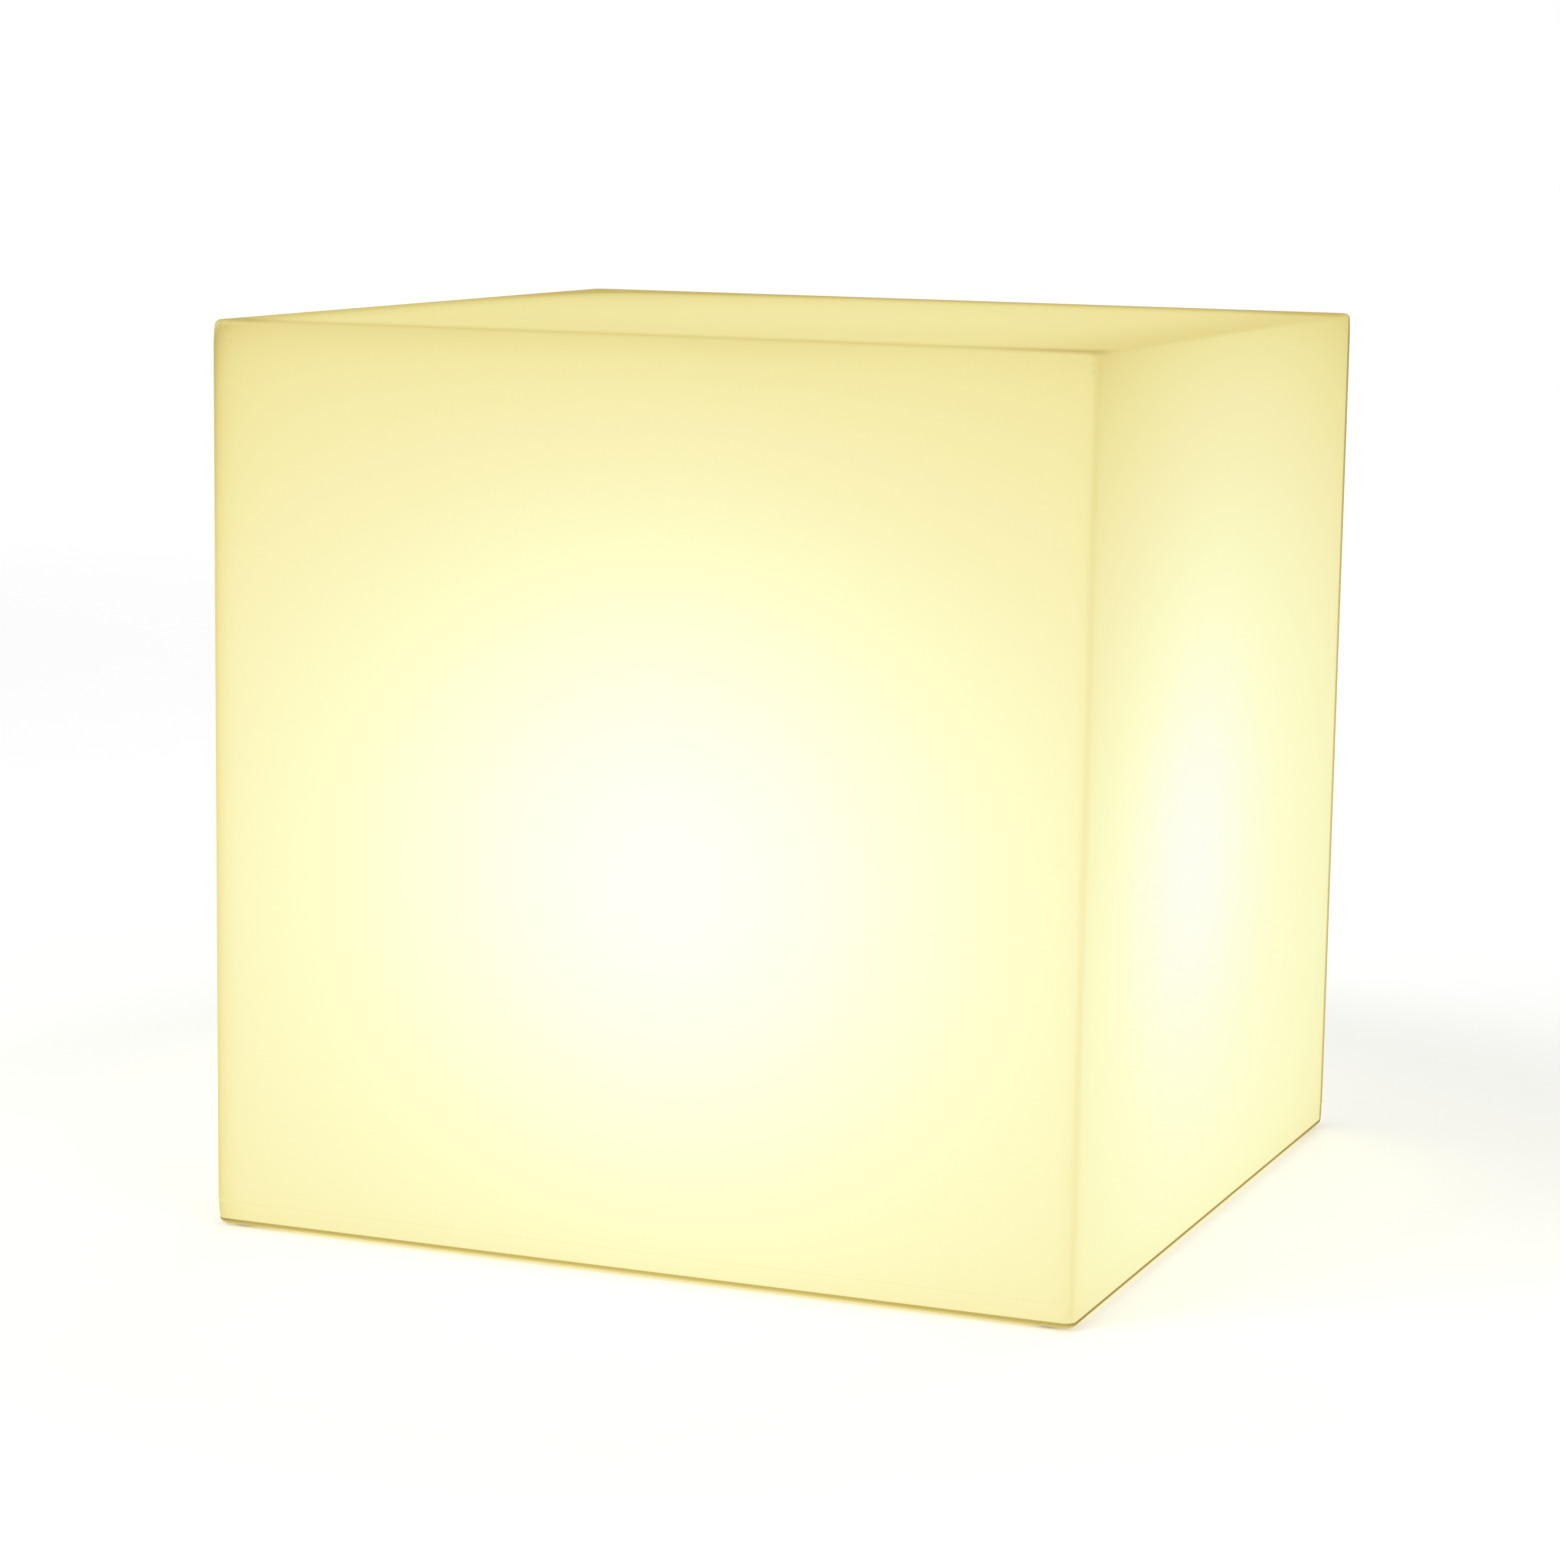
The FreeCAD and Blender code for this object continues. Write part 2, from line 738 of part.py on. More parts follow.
def cover_gasket():
    flat = washer(ledge_inner_radius + edge_gap, bell_inner - edge_gap, cover_top, ledge_under)
    holes = [
        disc(cover_screw_radius + edge_gap, cover_top, ledge_under, x, y)
        for x, y in cover_screw_places()
    ]
    return flat.cut(holes)


def cover_screws():
    return Part.makeCompound([
        pan_screw(cover_screw_radius, cover_screw_length, cover_screw_head_radius,
                  cover_screw_head_height, cover_under, x, y)
        for x, y in cover_screw_places()
    ])


# ---- Gland, built upwards from the outer face of the pocket's front wall ----


def gland_body():
    seat = gland_hex_top - gland_seat_depth
    form = hexagon(gland_across_flats, gland_washer_thickness, gland_hex_top)
    form = form.fuse([
        disc(gland_thread_radius, -gland_thread_length, gland_washer_thickness),
        disc(gland_neck_radius, gland_hex_top, gland_neck_top)])
    bore = turned(
        (0, -gland_thread_length), (gland_bore_radius, -gland_thread_length),
        (gland_bore_radius, seat), (gland_seal_outer_radius + slip_gap, seat),
        (gland_seal_outer_radius + slip_gap, gland_neck_top), (0, gland_neck_top))
    slit = box(gland_seal_outer_radius, gland_neck_radius, -gland_slit_width / 2, gland_slit_width / 2,
               gland_hex_top + gland_finger_root, gland_neck_top)
    slits = [at_angle(slit, angle) for angle in around(gland_slit_count)]
    return along_gland(form.cut([bore] + slits).removeSplitter())


def gland_washer():
    return along_gland(washer(gland_thread_radius + slip_gap, gland_across_flats / 2,
                              0, gland_washer_thickness))


def gland_seal():
    low = gland_hex_top - gland_seat_depth
    high = low + gland_seal_length
    outer = gland_seal_outer_radius
    return along_gland(turned(
        (cord_radius, low), (outer, low), (outer, high - gland_seal_bevel),
        (outer - gland_seal_bevel, high), (cord_radius, high)))


def gland_nut():
    low = gland_hex_top + gland_nut_gap
    top = low + gland_nut_length
    dome_height = gland_nut_length * gland_dome_share
    hex_top = top - dome_height
    throat = gland_neck_top + face_gap
    shoulder = gland_across_flats / 2 - gland_nut_gap
    dome = turned(
        (0, hex_top), (shoulder, hex_top),
        ((shoulder * 0.92, hex_top + dome_height * 0.6), (gland_bore_radius * 1.5, top)), (0, top))
    form = hexagon(gland_across_flats, low, hex_top).fuse(dome)
    bore = turned(
        (0, low), (gland_neck_radius + slip_gap, low), (gland_neck_radius + slip_gap, throat),
        (gland_mouth_radius, throat + gland_throat_length), (gland_mouth_radius, top), (0, top))
    return along_gland(form.cut(bore).removeSplitter())


def gland_locknut():
    return along_gland(hexagon(locknut_across_flats, -pocket_wall - locknut_thickness,
                               -pocket_wall, gland_thread_radius + slip_gap))


# ---- Terminal block and leads ----


def pole_places():
    return (-pole_spacing / 2, pole_spacing / 2)


def terminal_screw_rows():
    return (block_front + terminal_screw_inset, block_rear - terminal_screw_inset)


def through_block(radius, start, end, x):
    """Cylinder from front to rear at the clamps' level."""
    return Part.makeCylinder(radius, end - start, Vec(x, start, clamp_level), Vec(0, 1, 0))


def terminal_block():
    half = block_width / 2
    form = box(-half, half, block_front, block_rear, block_under, turret_ceiling)
    cuts = [through_block(clamp_radius + slip_gap, block_front, block_rear, x) for x in pole_places()]
    for x in pole_places():
        cuts += [disc(terminal_hole_radius, block_under, clamp_level, x, y) for y in terminal_screw_rows()]
    cuts.append(disc(block_screw_radius + slip_gap, block_under, turret_ceiling, 0, block_middle))
    cuts.append(disc(block_screw_head_radius + slip_gap, block_under, block_under + block_screw_sink,
                     0, block_middle))
    waist = box(-half, -half + block_waist_depth, block_front + block_waist_inset,
                block_rear - block_waist_inset, block_under, block_under + block_waist_height)
    return form.cut(cuts + [waist, waist.mirror(ORIGIN, Vec(1, 0, 0))])


def terminal_clamps():
    low = block_front + clamp_inset
    high = block_rear - clamp_inset
    clamps = []
    for x in pole_places():
        tube = through_block(clamp_radius, low, high, x)
        holes = [
            disc(terminal_screw_radius + slip_gap, clamp_level - clamp_radius, clamp_level, x, y)
            for y in terminal_screw_rows()
        ]
        clamps.append(tube.cut([through_block(clamp_bore_radius, low, high, x)] + holes))
    return Part.makeCompound(clamps)


def terminal_screws():
    tip = clamp_level - lead_radius - slip_gap
    head = tip - terminal_screw_length
    slot_half = terminal_screw_radius * 0.25
    screws = []
    for x in pole_places():
        for y in terminal_screw_rows():
            shank = disc(terminal_screw_radius, head, tip, x, y)
            slot = box(x - terminal_screw_radius, x + terminal_screw_radius, y - slot_half,
                       y + slot_half, head, head + terminal_screw_radius * 0.6)
            screws.append(shank.cut(slot))
    return Part.makeCompound(screws)


def block_screw():
    low = block_under + block_screw_sink
    return pan_screw(block_screw_radius, holder_seat - low - slip_gap, block_screw_head_radius,
                     block_screw_sink * 0.7, low, 0, block_middle, socket=False)


def lead(x, y):
    """One lead: down through the turret's top, round to the front and into its clamp."""
    bend = clamp_level + lead_bend_radius
    inner_end = block_rear - clamp_inset - lead_entry
    corner = lead_bend_radius * (1 - math.cos(math.pi / 4))
    points = [
        Vec(x, y, web_under - lead_top_gap), Vec(x, y, bend),
        Vec(x, y - corner, clamp_level + corner), Vec(x, y - lead_bend_radius, clamp_level),
        Vec(x, inner_end, clamp_level)]
    path = Part.Wire([
        Part.LineSegment(points[0], points[1]).toShape(),
        Part.Arc(points[1], points[2], points[3]).toShape(),
        Part.LineSegment(points[3], points[4]).toShape()])
    section = Part.Wire([Part.makeCircle(lead_radius, points[0], UP)])
    return path.makePipeShell([section], True, False)


def live_wire():
    return lead(*lead_places()[1])


def neutral_wire():
    return lead(*lead_places()[0])


# ---- Lampholder ----


def lampholder_housing():
    top = holder_seat + holder_height
    foot = holder_seat + holder_foot_height
    shell_top_level = shell_seat + holder_shell_height
    outside = turned(
        (0, holder_seat), (holder_base_radius + holder_foot_lip, holder_seat),
        (holder_base_radius + holder_foot_lip, foot), (holder_base_radius, foot + holder_foot_lip),
        (holder_mouth_radius, top), (0, top))
    inside = [
        disc(holder_cavity_radius, holder_seat, web_under),
        disc(holder_chamber_radius, web_top, shell_seat),
        disc(holder_seat_radius, shell_seat, shell_top_level),
        disc(holder_seat_radius + holder_mouth_clear, shell_top_level, top)]
    groove_start = foot + 2 * holder_foot_lip
    groove_axis = holder_base_radius + holder_groove_radius - holder_groove_depth
    groove = Part.makeCylinder(holder_groove_radius, holder_height, Vec(groove_axis, 0, groove_start), UP)
    lean = math.degrees(math.atan((holder_base_radius - holder_mouth_radius) / holder_height))
    groove.rotate(Vec(holder_base_radius, 0, groove_start), Vec(0, 1, 0), -lean)
    grooves = [at_angle(groove, angle) for angle in around(holder_rib_count)]
    slots = []
    for angle in (contact_angle, 180 - contact_angle):
        slot = box(contact_radius - contact_metal - slip_gap, contact_radius + slip_gap,
                   -contact_width / 2 - slip_gap, contact_width / 2 + slip_gap, web_under, web_top)
        slots.append(at_angle(slot, angle))
    foot_slot = box(contact_radius - contact_metal, holder_seat_radius, -contact_width / 2 - slip_gap,
                    contact_width / 2 + slip_gap, shell_seat - contact_metal, shell_seat)
    slots.append(at_angle(foot_slot, contact_angle))
    screw_bores = [
        disc(holder_screw_radius + slip_gap, holder_seat,
             turret_ceiling + holder_screw_length + 1, x, y)
        for x, y in holder_screw_places()
    ]
    return outside.cut(inside + slots + screw_bores + grooves)


def lampholder_screw_shell():
    low = shell_seat
    return washer(holder_shell_inner, holder_shell_outer, low, low + holder_shell_height)


def strip(points):
    """Bent metal strip: an outline in the XZ plane, as wide as a contact."""
    outline = [Vec(x, -contact_width / 2, z) for x, z in points]
    face = Part.Face(Part.makePolygon(outline + outline[:1]))
    return face.extrude(Vec(0, contact_width, 0))


def lampholder_centre_contact():
    inner = contact_radius - contact_metal
    pad_top = tip_level - contact_gap
    pad_end = -tip_radius * 0.8
    knee = web_top + contact_upright
    shape = strip([
        (inner, web_under - contact_tab), (contact_radius, web_under - contact_tab),
        (contact_radius, knee + contact_metal / 2), (tip_radius, pad_top), (pad_end, pad_top),
        (pad_end, pad_top - contact_metal), (tip_radius, pad_top - contact_metal), (inner, knee)])
    return at_angle(shape, 180 - contact_angle)


def lampholder_side_contact():
    inner = contact_radius - contact_metal
    reach = holder_shell_outer
    shape = strip([
        (inner, web_under - contact_tab), (contact_radius, web_under - contact_tab),
        (contact_radius, shell_seat - contact_metal), (reach, shell_seat - contact_metal),
        (reach, shell_seat), (inner, shell_seat)])
    return at_angle(shape, contact_angle)


def lampholder_screws():
    return Part.makeCompound([
        pan_screw(holder_screw_radius, holder_screw_length, cover_screw_head_radius,
                  cover_screw_head_height, turret_ceiling, x, y, socket=False)
        for x, y in holder_screw_places()
    ])


# ---- Bulb ----


def bulb_tip_contact():
    return turned(
        (0, tip_level), (tip_radius - 1.0, tip_level), (tip_radius, tip_level + tip_height * 0.6),
        (tip_radius, tip_level + tip_height), (0, tip_level + tip_height))


def bulb_cap_insulator():
    low = tip_level + tip_height
    lip = cap_radius - cap_taper - cap_metal / 2
    neck = lip - cap_metal * 1.5
    top = cap_bottom + cap_taper
    return turned(
        (0, low), (tip_radius * 1.15, low), (lip, cap_bottom - slip_gap), (neck, cap_bottom + 1.0),
        (neck, top), (0, top))


def bulb_cap():
    lip = cap_radius - cap_taper
    inner = cap_radius - cap_metal
    return turned(
        (lip, cap_bottom), (cap_radius, cap_bottom + cap_taper), (cap_radius, cap_top),
        (inner, cap_top), (inner, cap_bottom + cap_taper + cap_metal / 2),
        (lip - cap_metal, cap_bottom + cap_metal))


def body_line(inset):
    """Outside of the bulb's flared body, moved in: its throat, a point half way and its rim."""
    throat = (body_throat_radius - inset, cap_top + body_throat_length)
    waist = (body_waist_radius - inset, cap_top + body_length * 0.5)
    rim = (body_rim_radius - inset, rim_level)
    return throat, waist, rim


def body_radius(level, inset):
    """Radius of the flared body's arc at a level."""
    throat, waist, rim = (Vec(r, 0, z) for r, z in body_line(inset))
    flare = Part.Arc(throat, waist, rim).toShape().Curve
    centre = flare.Center
    return centre.x - math.sqrt(flare.Radius ** 2 - (level - centre.z) ** 2)


def bulb_housing():
    throat, waist, rim = body_line(0)
    inner_throat, inner_waist, inner_rim = body_line(body_wall)
    collar = cap_radius + slip_gap
    low = cap_top - body_skirt
    return turned(
        (collar, low), (body_throat_radius - 0.3, low), throat, (waist, rim), inner_rim,
        (inner_waist, inner_throat), (cap_radius - cap_metal, cap_top + slip_gap),
        (collar, cap_top + slip_gap))


def bulb_heat_sink():
    """Pressed metal cone that carries the board, a slip fit in the body."""
    gap = body_wall + edge_gap
    inner = gap + sink_metal
    low = cap_top + body_throat_length + sink_clear
    plate_under = sink_top - sink_plate
    half = (low + sink_top) / 2

    def outside(level):
        return body_radius(level, gap), level

    def inside(level):
        return body_radius(level, inner), level

    return turned(
        outside(low), (outside(half), outside(sink_top)), (0, sink_top), (0, plate_under),
        inside(plate_under), (inside(half), inside(low)))


def bulb_led_board():
    return washer(led_board_bore, led_board_radius, sink_top, sink_top + led_board_thickness)


def bulb_led_chips():
    length, width, height = led_size
    low = sink_top + led_board_thickness
    chip = box(led_circle - length / 2, led_circle + length / 2, -width / 2, width / 2, low, low + height)
    return Part.makeCompound([at_angle(chip, angle) for angle in around(led_count)])


def driver_span():
    return cap_top - driver_drop, sink_top - sink_plate - slip_gap


def bulb_driver_board():
    low, high = driver_span()
    half = driver_width / 2
    return box(-driver_thickness / 2, driver_thickness / 2, -half, half, low, high)


def bulb_driver_parts():
    low, high = driver_span()
    face = driver_thickness / 2 + slip_gap
    foot = low + capacitor_drop
    middle = (low + high) / 2
    capacitor = disc(capacitor_radius, foot, foot + capacitor_length, face + capacitor_radius, 0)
    choke = Part.makeCylinder(choke_radius, choke_length, Vec(-face, 0, middle), Vec(-1, 0, 0))
    depth, width, height = bridge_size
    bridge = box(face, face + depth, -width / 2, width / 2,
                 middle + bridge_rise, middle + bridge_rise + height)
    return Part.makeCompound([capacitor, choke, bridge])


def bulb_diffuser():
    """Opal globe with a collar that drops into the body's rim."""
    collar_out = body_radius(sink_top, body_wall) - slip_gap
    collar_in = collar_out - globe_wall
    low = sink_top + slip_gap
    seat = rim_level + slip_gap
    inner = globe_radius - globe_wall

    def on_globe(radius, level):
        return math.sqrt(radius ** 2 - (level - globe_centre) ** 2)

    inner_seat = seat + globe_wall
    rim_out = on_globe(globe_radius, seat)
    rim_in = on_globe(inner, inner_seat)
    return turned(
        (0, bulb_top), ((globe_radius, globe_centre), (rim_out, seat)), (collar_out, seat),
        (collar_out, low), (collar_in, low), (collar_in, inner_seat), (rim_in, inner_seat),
        ((inner, globe_centre), (0, bulb_top - globe_wall)))


PIECES = [
    cube_shell, rubber_feet, threaded_inserts, bayonet_ring, ring_gasket, ring_screws,
    lamp_carrier, carrier_seal, wiring_cover, cover_gasket, cover_screws,
    gland_body, gland_washer, gland_seal, gland_nut, gland_locknut,
    terminal_block, terminal_clamps, terminal_screws, block_screw, live_wire, neutral_wire,
    lampholder_housing, lampholder_screw_shell, lampholder_centre_contact,
    lampholder_side_contact, lampholder_screws,
    bulb_tip_contact, bulb_cap_insulator,
    bulb_cap, bulb_housing, bulb_heat_sink, bulb_led_board, bulb_led_chips,
    bulb_driver_board, bulb_driver_parts, bulb_diffuser,
]

os.makedirs("parts", exist_ok=True)
for piece in PIECES:
    shape = piece()
    shape.exportStep(f"parts/{piece.__name__}.step")
    print(f"{piece.__name__}: {len(shape.Solids)} solids, valid {shape.isValid()}")
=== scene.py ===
"""Looks of the outdoor cube light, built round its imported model.

Metres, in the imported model's frame: the origin is under the middle of the cube, +Z is up, +Y is the
rear, where the cord leaves, and +X is to the right. A glowing, seamless moulded cube stands over a
turning lamp unit with a screw-in bulb. The photograph shows the front, the right side and the top.
"""

import json
import logging
import math
from dataclasses import dataclass
from enum import Enum
from typing import Iterable, Protocol, Sequence

import bpy
import numpy as np
from mathutils import Matrix, Vector


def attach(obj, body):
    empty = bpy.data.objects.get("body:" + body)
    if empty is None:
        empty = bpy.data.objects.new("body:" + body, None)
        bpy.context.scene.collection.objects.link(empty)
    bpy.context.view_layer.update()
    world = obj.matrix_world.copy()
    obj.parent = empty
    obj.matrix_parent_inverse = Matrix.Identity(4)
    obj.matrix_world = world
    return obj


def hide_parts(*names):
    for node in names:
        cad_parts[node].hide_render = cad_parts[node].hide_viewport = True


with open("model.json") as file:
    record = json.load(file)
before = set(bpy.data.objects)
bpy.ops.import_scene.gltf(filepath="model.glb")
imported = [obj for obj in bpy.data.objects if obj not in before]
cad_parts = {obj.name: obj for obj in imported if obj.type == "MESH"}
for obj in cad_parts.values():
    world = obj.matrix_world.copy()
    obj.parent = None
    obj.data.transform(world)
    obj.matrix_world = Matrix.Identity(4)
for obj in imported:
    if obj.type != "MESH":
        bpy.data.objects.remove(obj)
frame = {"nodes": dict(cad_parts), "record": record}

log = logging.getLogger("cube_light")

MM = 0.001
TURN = 2.0 * math.pi

Colour = tuple[float, float, float]
Place = tuple[float, float, float]
Profile = Sequence[tuple[float, float]]


# Shader building


class Maths(Enum):
    """Operations of the maths node that the finishes use."""

    ADD = "ADD"
    SUBTRACT = "SUBTRACT"
    MULTIPLY = "MULTIPLY"
    DIVIDE = "DIVIDE"
    ROOT = "SQRT"
    EXPONENT = "EXPONENT"
    ABSOLUTE = "ABSOLUTE"
    MAXIMUM = "MAXIMUM"
    MINIMUM = "MINIMUM"


class Field:
    """A number that varies over a surface: a shader socket that takes part in arithmetic."""

    def __init__(self, graph: "NodeGraph", socket: bpy.types.NodeSocket) -> None:
        """Keep the graph that new nodes go into and the socket that carries the number."""
        self.graph = graph
        self.socket = socket

    def __add__(self, other: "Field | float") -> "Field":
        """Sum."""
        return self.graph.maths(Maths.ADD, self, other)

    def __radd__(self, other: float) -> "Field":
        """Sum with a plain number on the left."""
        return self.graph.maths(Maths.ADD, other, self)

    def __sub__(self, other: "Field | float") -> "Field":
        """Difference."""
        return self.graph.maths(Maths.SUBTRACT, self, other)

    def __rsub__(self, other: float) -> "Field":
        """Difference from a plain number."""
        return self.graph.maths(Maths.SUBTRACT, other, self)

    def __mul__(self, other: "Field | float") -> "Field":
        """Product."""
        return self.graph.maths(Maths.MULTIPLY, self, other)

    def __rmul__(self, other: float) -> "Field":
        """Product with a plain number on the left."""
        return self.graph.maths(Maths.MULTIPLY, other, self)

    def __truediv__(self, other: "Field | float") -> "Field":
        """Quotient."""
        return self.graph.maths(Maths.DIVIDE, self, other)

    def squared(self) -> "Field":
        """The number times itself."""
        return self.graph.maths(Maths.MULTIPLY, self, self)

    def root(self) -> "Field":
        """The square root of the number."""
        return self.graph.maths(Maths.ROOT, self)

    def exp(self) -> "Field":
        """The exponential function of the number."""
        return self.graph.maths(Maths.EXPONENT, self)

    def bell(self, width: float) -> "Field":
        """Bell curve exp(-self / width^2) of a squared distance."""
        return (self * (-1.0 / width ** 2)).exp()

    def near(self, reach: float) -> "Field":
        """Exponential fall exp(-self / reach) of a distance."""
        return (self * (-1.0 / reach)).exp()

    def magnitude(self) -> "Field":
        """The number without its sign."""
        return self.graph.maths(Maths.ABSOLUTE, self)

    def at_least(self, other: "Field | float") -> "Field":
        """The larger of two numbers."""
        return self.graph.maths(Maths.MAXIMUM, self, other)

    def at_most(self, other: "Field | float") -> "Field":
        """The smaller of two numbers."""
        return self.graph.maths(Maths.MINIMUM, self, other)

    def fade(self, start: float, end: float) -> "Field":
        """Smooth step.

        Args:
            start: Value at which the result is 0.
            end: Value at which the result is 1.

        Returns:
            A number from 0 to 1 that eases in and out between the two values.
        """
        step = self.graph.add("ShaderNodeMapRange", interpolation_type="SMOOTHSTEP")
        self.graph.put(step.inputs["Value"], self)
        step.inputs["From Min"].default_value = start
        step.inputs["From Max"].default_value = end
        return Field(self.graph, step.outputs["Result"])


class NodeGraph:
    """A node tree that starts empty, and fields in it."""

    def __init__(self, tree: bpy.types.NodeTree) -> None:
        """Empty the tree."""
        self.tree = tree
        tree.nodes.clear()

    def add(self, kind: str, **settings: object) -> bpy.types.Node:
        """Add a node and set its properties.

        Args:
            kind: Blender's name of the node type.
            **settings: Properties of the node.

        Returns:
            The new node.
        """
        node = self.tree.nodes.new(kind)
        for name, value in settings.items():
            setattr(node, name, value)
        return node

    def put(self, socket: bpy.types.NodeSocket,
            value: "Field | bpy.types.NodeSocket | float | Colour") -> None:
        """Feed an input.

        Args:
            socket: The input.
            value: A field or socket that is linked in, or a plain number or colour that is set.
        """
        if isinstance(value, Field):
            value = value.socket
        if isinstance(value, bpy.types.NodeSocket):
            self.tree.links.new(value, socket)
        else:
            socket.default_value = (*value, 1.0) if isinstance(value, tuple) else value

    def maths(self, operation: Maths, *values: "Field | float") -> Field:
        """Apply a maths node.

        Args:
            operation: What the node does.
            *values: One or two numbers.

        Returns:
            The result.
        """
        node = self.add("ShaderNodeMath", operation=operation.value)
        for socket, value in zip(node.inputs, values):
            self.put(socket, value)
        return Field(self, node.outputs["Value"])

    def seen(self) -> Field:
        """1 where a thing is seen straight, in gloss or through glass, and 0 for all other light."""
        path = self.add("ShaderNodeLightPath")
        camera, gloss, glass = (Field(self, path.outputs[f"Is {way} Ray"])
                                for way in ("Camera", "Glossy", "Transmission"))
        return camera.at_least(gloss).at_least(glass)


class ShaderGraph(NodeGraph):
    """One Principled material and the nodes that feed it."""

    def __init__(self, name: str) -> None:
        """Make an empty material whose surface is one Principled shader."""
        self.material = bpy.data.materials.new(name)
        self.material.use_nodes = True
        super().__init__(self.material.node_tree)
        output = self.add("ShaderNodeOutputMaterial")
        self.surface = self.add("ShaderNodeBsdfPrincipled")
        self.tree.links.new(self.surface.outputs["BSDF"], output.inputs["Surface"])

    def place(self) -> bpy.types.NodeSocket:
        """Place on the object, in metres."""
        return self.add("ShaderNodeTexCoord").outputs["Object"]

    def parts(self, vector: bpy.types.NodeSocket) -> tuple[Field, Field, Field]:
        """Split a vector into three fields."""
        node = self.add("ShaderNodeSeparateXYZ")
        self.put(node.inputs["Vector"], vector)
        return Field(self, node.outputs[0]), Field(self, node.outputs[1]), Field(self, node.outputs[2])

    def facing(self) -> tuple[Field, Field, Field]:
        """Components of the surface's normal."""
        return self.parts(self.add("ShaderNodeNewGeometry").outputs["Normal"])

    def stretched(self, scale: Sequence[float]) -> bpy.types.NodeSocket:
        """Place on the object, scaled along each axis."""
        node = self.add("ShaderNodeMapping")
        self.put(node.inputs["Vector"], self.place())
        node.inputs["Scale"].default_value = scale
        return node.outputs["Vector"]

    def noise(self, size: float, detail: float = 2.0, vector: bpy.types.NodeSocket | None = None,
              roughness: float = 0.5) -> Field:
        """Cloudy noise.

        Args:
            size: Width of one cloud in metres.
            detail: Octaves of finer noise.
            vector: Where it is read; the place on the object if left out.
            roughness: Weight of the finer octaves.

        Returns:
            A number round 0.5.
        """
        node = self.add("ShaderNodeTexNoise")
        self.put(node.inputs["Vector"], vector or self.place())
        node.inputs["Scale"].default_value = 1.0 / size
        node.inputs["Detail"].default_value = detail
        node.inputs["Roughness"].default_value = roughness
        return Field(self, node.outputs["Fac"])

    def blend(self, factor: Field, low: "bpy.types.NodeSocket | Colour", high: Colour,
              **settings: object) -> bpy.types.NodeSocket:
        """Mix two colours.

        Args:
            factor: Share of the second colour, from 0 to 1.
            low: First colour.
            high: Second colour.
            **settings: Properties of the node, where it does anything but pass from one to the other.

        Returns:
            The colour socket.
        """
        node = self.add("ShaderNodeMix", data_type="RGBA", **settings)
        self.put(node.inputs["Factor"], factor)
        first, second = (socket for socket in node.inputs if socket.type == "RGBA")
        self.put(first, low)
        self.put(second, high)
        return next(socket for socket in node.outputs if socket.type == "RGBA")

    def ramp(self, factor: Field, stops: Sequence[tuple[float, Colour]]) -> bpy.types.NodeSocket:
        """Colour along a ramp.

        Args:
            factor: Place along the ramp, 0 to 1.
            stops: Places and colours, in order.

        Returns:
            The colour socket.
        """
        node = self.add("ShaderNodeValToRGB")
        self.put(node.inputs["Fac"], factor)
        elements = node.color_ramp.elements
        while len(elements) < len(stops):
            elements.new(1.0)
        for element, (position, colour) in zip(elements, stops):
            element.position = position
            element.color = (*colour, 1.0)
        return node.outputs["Color"]

    def bump(self, height: Field, depth: float) -> None:
        """Give the surface relief.

        Args:
            height: Relief from 0 to 1.
            depth: Depth of the whole range in metres.
        """
        node = self.add("ShaderNodeBump")
        node.inputs["Strength"].default_value = 1.0
        node.inputs["Distance"].default_value = depth
        self.put(node.inputs["Height"], height)
        self.put(self.surface.inputs["Normal"], node.outputs["Normal"])

    def set(self, name: str, value: "Field | bpy.types.NodeSocket | float | Colour") -> None:
        """Set or link an input of the Principled shader by its name."""
        self.put(self.surface.inputs[name], value)


class Finish(Protocol):
    """What a piece is made of, as it looks."""

    name: str

    def material(self) -> bpy.types.Material:
        """Build the material."""


# Finishes


@dataclass(frozen=True)
class WallGlow:
    """Brightness over one upright wall, in shares of the cube's side.

    A round hot spot fades as a bell curve over a level that falls towards the top and the edges.
    """

    spot_across: float
    spot_height: float
    spot_peak: float
    spot_width: float
    level: float
    slope: float
    bow_height: float
    bow_across: float

    def over(self, across: Field, height: Field) -> Field:
        """Brightness at a place on the wall.

        Args:
            across: Place along the wall from its middle.
            height: Height above the cube's underside.

        Returns:
            peak exp(-(distance from the spot / width)^2) + level - slope h - bows of h^2 and across^2,
            with h measured from half height.
        """
        away = (across - self.spot_across).squared() + (height - self.spot_height).squared()
        rise = height - 0.5
        spot = self.spot_peak * away.bell(self.spot_width)
        fall = self.slope * rise + self.bow_height * rise.squared() + self.bow_across * across.squared()
        return spot + self.level - fall


GLOW_COLOURS: tuple[tuple[float, Colour], ...] = (
    (0.00, (0.20, 0.15, 0.03)), (0.15, (0.56, 0.45, 0.14)), (0.26, (0.78, 0.67, 0.26)),
    (0.35, (0.87, 0.78, 0.35)), (0.46, (0.935, 0.87, 0.46)), (0.58, (0.985, 0.98, 0.58)),
    (0.64, (1.0, 1.0, 0.64)), (1.00, (1.0, 1.0, 1.0)))


